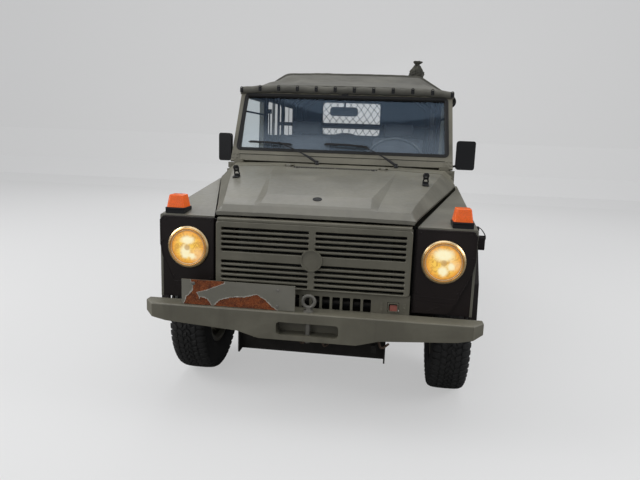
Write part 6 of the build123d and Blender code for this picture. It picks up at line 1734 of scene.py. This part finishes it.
cap = lathe([
    (0.0, 0.062), (0.004, 0.062), (0.006, 0.055), (0.006, 0.046), (0.022, 0.044), (0.026, 0.040),
    (0.026, 0.0)], 40, axis=0)
cap = cap + block((0.0255, -0.010, -0.036), (0.033, 0.010, 0.036))
cap = cap.mirrored().moved(-BODY_X, y_at(2.360), 1.060)
make_piece("filler_cap", cap, "chassis", "olive_paint", 35, bevel=0.0015)

STRAP_BEND = ((0.800, 0.996), (0.818, 0.986), (0.838, 0.958), (0.8405, 0.936))
strap_path = smooth_line([(x, y_at(-0.350), z) for x, z in STRAP_BEND], 20)
strap = swept(strap_path, tape(0.011, 0.002), (0.7, 0, 0.7))
hinge = block((0.7755, y_at(-0.366), 0.978), (0.806, y_at(-0.334), 0.998))
make_piece("bonnet_catch_straps", (strap + hinge).both_sides(), "chassis", "black_rubber", 40, bevel=0.001)

flap = block((0.628, y_at(3.268), 0.300), (0.800, y_at(3.276), 0.585))
flap_bar = block((0.628, y_at(3.262), 0.560), (0.800, y_at(3.282), 0.585))
flap_rib = block((0.632, y_at(3.276), -0.002), (0.796, y_at(3.2785), 0.002))
flap_ribs = flap_rib.copies([(0, 0, z) for z in np.arange(0.32, 0.55, 0.022)])
make_piece("mud_flaps", (flap + flap_bar + flap_ribs).both_sides(), "chassis", "black_rubber", 35)


def wheel_trim():
    """Five nuts on studs, and a domed hub cap with a rim of small screws."""
    nut = lathe([(0.0, 0.0125), (0.016, 0.0125), (0.018, 0.0105), (0.018, 0.0)], 6, axis=0)
    nut = nut + lathe([(0.0, 0.0), (0.0, 0.016), (0.003, 0.0165), (0.004, 0.012)], 20, axis=0)
    stud = lathe([(0.018, 0.0062), (0.026, 0.0058), (0.027, 0.0)], 10, axis=0)
    ring = (nut + stud).moved(0.052, 0, 0.065).ring(5, start=0.3)
    dome = lathe([
        (0.040, 0.0), (0.040, 0.036), (0.062, 0.0355), (0.072, 0.032), (0.078, 0.022), (0.080, 0.008),
        (0.080, 0.0)], 40, axis=0)
    screw = lathe([(0.062, 0.0), (0.062, 0.0032), (0.076, 0.003), (0.0765, 0.0)], 8, axis=0)
    return ring + dome + screw.moved(0, 0, 0.028).ring(6)


trim = wheel_trim()
valve = rod([(0.060, 0.0, 0.176), (0.074, 0.0, 0.171)], 0.0035, 8)
for corner, (x, y) in WHEEL_PLACES.items():
    for name, shape, finish in (("wheel_nuts", trim, "olive_paint"), ("tyre_valve", valve, "black_rubber")):
        sided = shape if x > 0 else shape.mirrored()
        make_piece(f"{name}_{corner}", sided.moved(x, y, TYRE_R), f"wheel_{corner}", finish, 35)
spare_trim = trim.turned((0, 0, 1), math.pi / 2).moved(*spare_middle)
make_piece("wheel_nuts_spare", spare_trim, "tailgate", "olive_paint", 35)

# Door mirrors: the glass towards the rear and a rubber edge

MIRROR_Z = 1.326
for name, side, reach, wide in (("left", 1, 0.828, 0.120), ("right", -1, 0.801, 0.086)):
    rear_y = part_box(f"mirror_{name}")[1][1]
    middle_x = side * reach
    layers = ((0.0, 1.0), (0.0018, 0.985), (0.0018, 0.0))
    glass = stacked(rounded_outline(wide - 0.010, 0.178, 0.014), layers, (middle_x, rear_y, MIRROR_Z))
    make_piece(f"mirror_glass_{name}", glass, f"door_{name}", "mirror_glass", 60)
    edge_outline = rounded_outline(wide - 0.006, 0.182, 0.016)
    edge_line = [(middle_x + x, rear_y + 0.0005, MIRROR_Z + z) for x, z in edge_outline]
    edge = rod(edge_line, 0.0026, 6, (0, 1, 0), closed=True)
    make_piece(f"mirror_edge_{name}", edge, f"door_{name}", "black_rubber", 60)

# Back: blank plate with its lamp, and round reflectors

plate = plate_at((0.470, y_at(3.5665), 0.905), (0.250, 0.200), 0.008, (0, 0.004, 0))
plate_rim = [(0.470 + x, y_at(3.5700), 0.905 + z) for x, z in rounded_outline(0.244, 0.194, 0.008)]
plate = plate + rod(plate_rim, 0.002, 6, (0, 1, 0), closed=True)
make_piece("rear_blank_plate", plate, "tailgate", "olive_paint", 35)
shade = block((0.405, y_at(3.5665), 1.012), (0.535, y_at(3.612), 1.040))
make_piece("plate_lamp", shade, "tailgate", "black_plastic", 35, bevel=0.004)
reflector = lathe([(0.0, 0.034), (0.004, 0.034), (0.006, 0.030), (0.007, 0.0)], 32, axis=1)
reflectors = reflector.moved(0.706, y_at(3.560), 0.935).both_sides()
make_piece("round_reflectors", reflectors, "chassis", "red_plastic", 50)

# Below the front bumper: a slotted stay and five bent pipes

stay = prism([(-0.330, y_at(-0.545), 0.500), (-0.215, y_at(-0.545), 0.480), (-0.245, y_at(-0.535), 0.395),
              (-0.300, y_at(-0.535), 0.392)], (0, 0.004, 0))
slot = block((-0.292, y_at(-0.548), 0.425), (-0.262, y_at(-0.5445), 0.450))
make_piece("under_bumper_stay", stay, "chassis", "olive_paint", 35)
make_piece("under_bumper_slot", slot, "chassis", "black_rubber", 35)
PIPES = (
    # x at the top, height of the foot, and bend sideways
    (-0.150, 0.425, 0.02), (-0.010, 0.405, -0.02), (0.055, 0.398, 0.015), (0.180, 0.420, -0.02),
    (0.330, 0.410, 0.02),
)
pipes = []
for x, low_z, bend in PIPES:
    foot = (x + 3 * bend, y_at(-0.560), low_z + 0.012)
    line = [(x, y_at(-0.575), 0.500), (x + bend, y_at(-0.585), low_z), foot]
    pipes.append(rod(smooth_line(line, 14), 0.006, 8, (1, 0, 0)))
make_piece("front_pipes", joined(pipes), "chassis", "exhaust_steel", 40)

# Canvas: piping down the rear edge, seams over the hoops, and the strips that close the slits over the doors

piping_section = [(-0.006, -0.003), (-0.004, 0.003), (0.004, 0.003), (0.006, -0.003)]
piping = swept(canvas_points[-1], piping_section, (0, 1, 0))
make_piece("canvas_edge_piping", piping, "chassis", "canvas", 60)
SEAM_STATIONS = (1.425, 1.900, 2.325, 2.995)
SEAM_SECTION = [(-0.014, -0.001), (-0.013, 0.0010), (-0.010, 0.0014), (-0.007, 0.0008), (0.007, 0.0008),
                (0.010, 0.0014), (0.013, 0.0010), (0.014, -0.001)]
SEAM_FOOT_Z = 1.235
seams = []
for station in SEAM_STATIONS:
    row = int(np.argmin(np.abs(s_grid[:, s_grid.shape[1] // 2] - station)))
    path = canvas_points[row]
    foot = int(np.argmax(path[:, 2] > SEAM_FOOT_Z))
    path = path[foot:len(path) - foot] + np.array((0, 0, 0.0002))
    seams.append(swept(path, SEAM_SECTION, (0, 1, 0)))
make_piece("canvas_seams", joined(seams), "chassis", "canvas", 60)
rise = np.linspace(0, 1, 24)
section = [
    (0.6995, 1.690), (0.7040, 1.690), (0.7040, 1.7335), (0.7410, 1.7335), (0.7410, 1.7365), (0.6995, 1.7365)]
door_strip = tube([
    [(x, y_at(0.785 + 0.615 * t), z + 0.0285 * t * (z > 1.70)) for x, z in section] for t in rise])
make_piece("door_top_strips", door_strip.both_sides(), "chassis", "black_rubber", 40)

# Stage, camera and light


def make_stage():
    """A pale floor that runs up into a pale wall."""
    x = np.array([-14.0, 14.0])
    run = np.array([-11.0, 9.0, 9.8, 10.3, 10.5, 10.5])
    rise = np.array([0.0, 0.0, 0.15, 0.6, 1.4, 9.0])
    grid = np.array([[(a, b, c - 0.0005) for a in x] for b, c in zip(run, rise)])
    mesh = bpy.data.meshes.new("floor")
    faces = [(2 * i, 2 * i + 1, 2 * i + 3, 2 * i + 2) for i in range(len(run) - 1)]
    mesh.from_pydata(grid.reshape(-1, 3).tolist(), [], faces)
    floor = bpy.data.objects.new("floor", mesh)
    bpy.context.scene.collection.objects.link(floor)
    finish = Finish("floor", 0.9)
    seen = Value(finish, finish.node("ShaderNodeLightPath").outputs["Is Camera Ray"])
    finish.set("Base Color", finish.mix(seen, (0.22, 0.22, 0.215), (0.74, 0.74, 0.735)))
    pale = finish.node("ShaderNodeEmission", None, {"Color": (0.80, 0.80, 0.80, 1.0)})
    both = finish.node("ShaderNodeMixShader", None, [seen * 0.55, finish.shader.outputs[0], pale.outputs[0]])
    finish.show(both)
    mesh.materials.append(finish.material)


make_stage()

CAMERA_PLACE = Vector((0.3664, -4.7583, 1.4113))
CAMERA_YAW = -0.1259
CAMERA_PITCH = 0.1811
CAMERA_ROLL = 0.0351
FOCAL_PIXELS = 560.03
PICTURE_WIDTH = 640
SENSOR_WIDTH = 36.0


def make_camera():
    """The camera solved from the photograph."""
    forward = Vector((
        math.sin(CAMERA_YAW) * math.cos(CAMERA_PITCH), math.cos(CAMERA_YAW) * math.cos(CAMERA_PITCH),
        -math.sin(CAMERA_PITCH)))
    level_right = Vector((math.cos(CAMERA_YAW), -math.sin(CAMERA_YAW), 0.0))
    level_up = level_right.cross(forward)
    right = math.cos(CAMERA_ROLL) * level_right + math.sin(CAMERA_ROLL) * level_up
    up = -math.sin(CAMERA_ROLL) * level_right + math.cos(CAMERA_ROLL) * level_up
    data = bpy.data.cameras.new("camera")
    data.sensor_width = SENSOR_WIDTH
    data.lens = FOCAL_PIXELS / PICTURE_WIDTH * SENSOR_WIDTH
    camera = bpy.data.objects.new("camera", data)
    camera.matrix_world = Matrix((
        (right.x, up.x, -forward.x, CAMERA_PLACE.x), (right.y, up.y, -forward.y, CAMERA_PLACE.y),
        (right.z, up.z, -forward.z, CAMERA_PLACE.z), (0, 0, 0, 1)))
    bpy.context.scene.collection.objects.link(camera)
    bpy.context.scene.camera = camera


make_camera()

LIGHT_AIM = Vector((0, 0, 0.8))


def make_light(name, place, energy, size):
    """A round soft lamp that faces the car."""
    data = bpy.data.lights.new(name, "AREA")
    data.energy = energy
    data.shape = "DISK"
    data.size = size
    lamp = bpy.data.objects.new(name, data)
    lamp.location = place
    lamp.rotation_mode = "QUATERNION"
    lamp.rotation_quaternion = (LIGHT_AIM - Vector(place)).to_track_quat("-Z", "Y")
    bpy.context.scene.collection.objects.link(lamp)


make_light("sky_above", (0.0, -1.0, 7.5), 190, 9.0)
make_light("sky_left", (7.5, -2.5, 4.6), 230, 4.5)
make_light("sky_right", (-7.5, -3.0, 5.0), 330, 5.0)
make_light("front", (-3.5, -9.0, 4.0), 90, 4.5)
make_light("back", (-2.0, 8.5, 6.0), 150, 6.0)

SKY_AS_LIGHT = 0.36
SKY_AS_SEEN = 0.85
world = bpy.data.worlds.new("even_sky")
bpy.context.scene.world = world
world.use_nodes = True
nodes, links = world.node_tree.nodes, world.node_tree.links
background = nodes["Background"]
background.inputs["Color"].default_value = (0.84, 0.87, 0.93, 1.0)
light_path = nodes.new("ShaderNodeLightPath")
shown = nodes.new("ShaderNodeMath")
shown.operation = "MAXIMUM"
links.new(light_path.outputs["Is Camera Ray"], shown.inputs[0])
links.new(light_path.outputs["Is Glossy Ray"], shown.inputs[1])
strength = nodes.new("ShaderNodeMapRange")
strength.inputs["To Min"].default_value = SKY_AS_LIGHT
strength.inputs["To Max"].default_value = SKY_AS_SEEN
links.new(shown.outputs[0], strength.inputs["Value"])
links.new(strength.outputs[0], background.inputs["Strength"])

bpy.context.scene.view_settings.view_transform = "Standard"
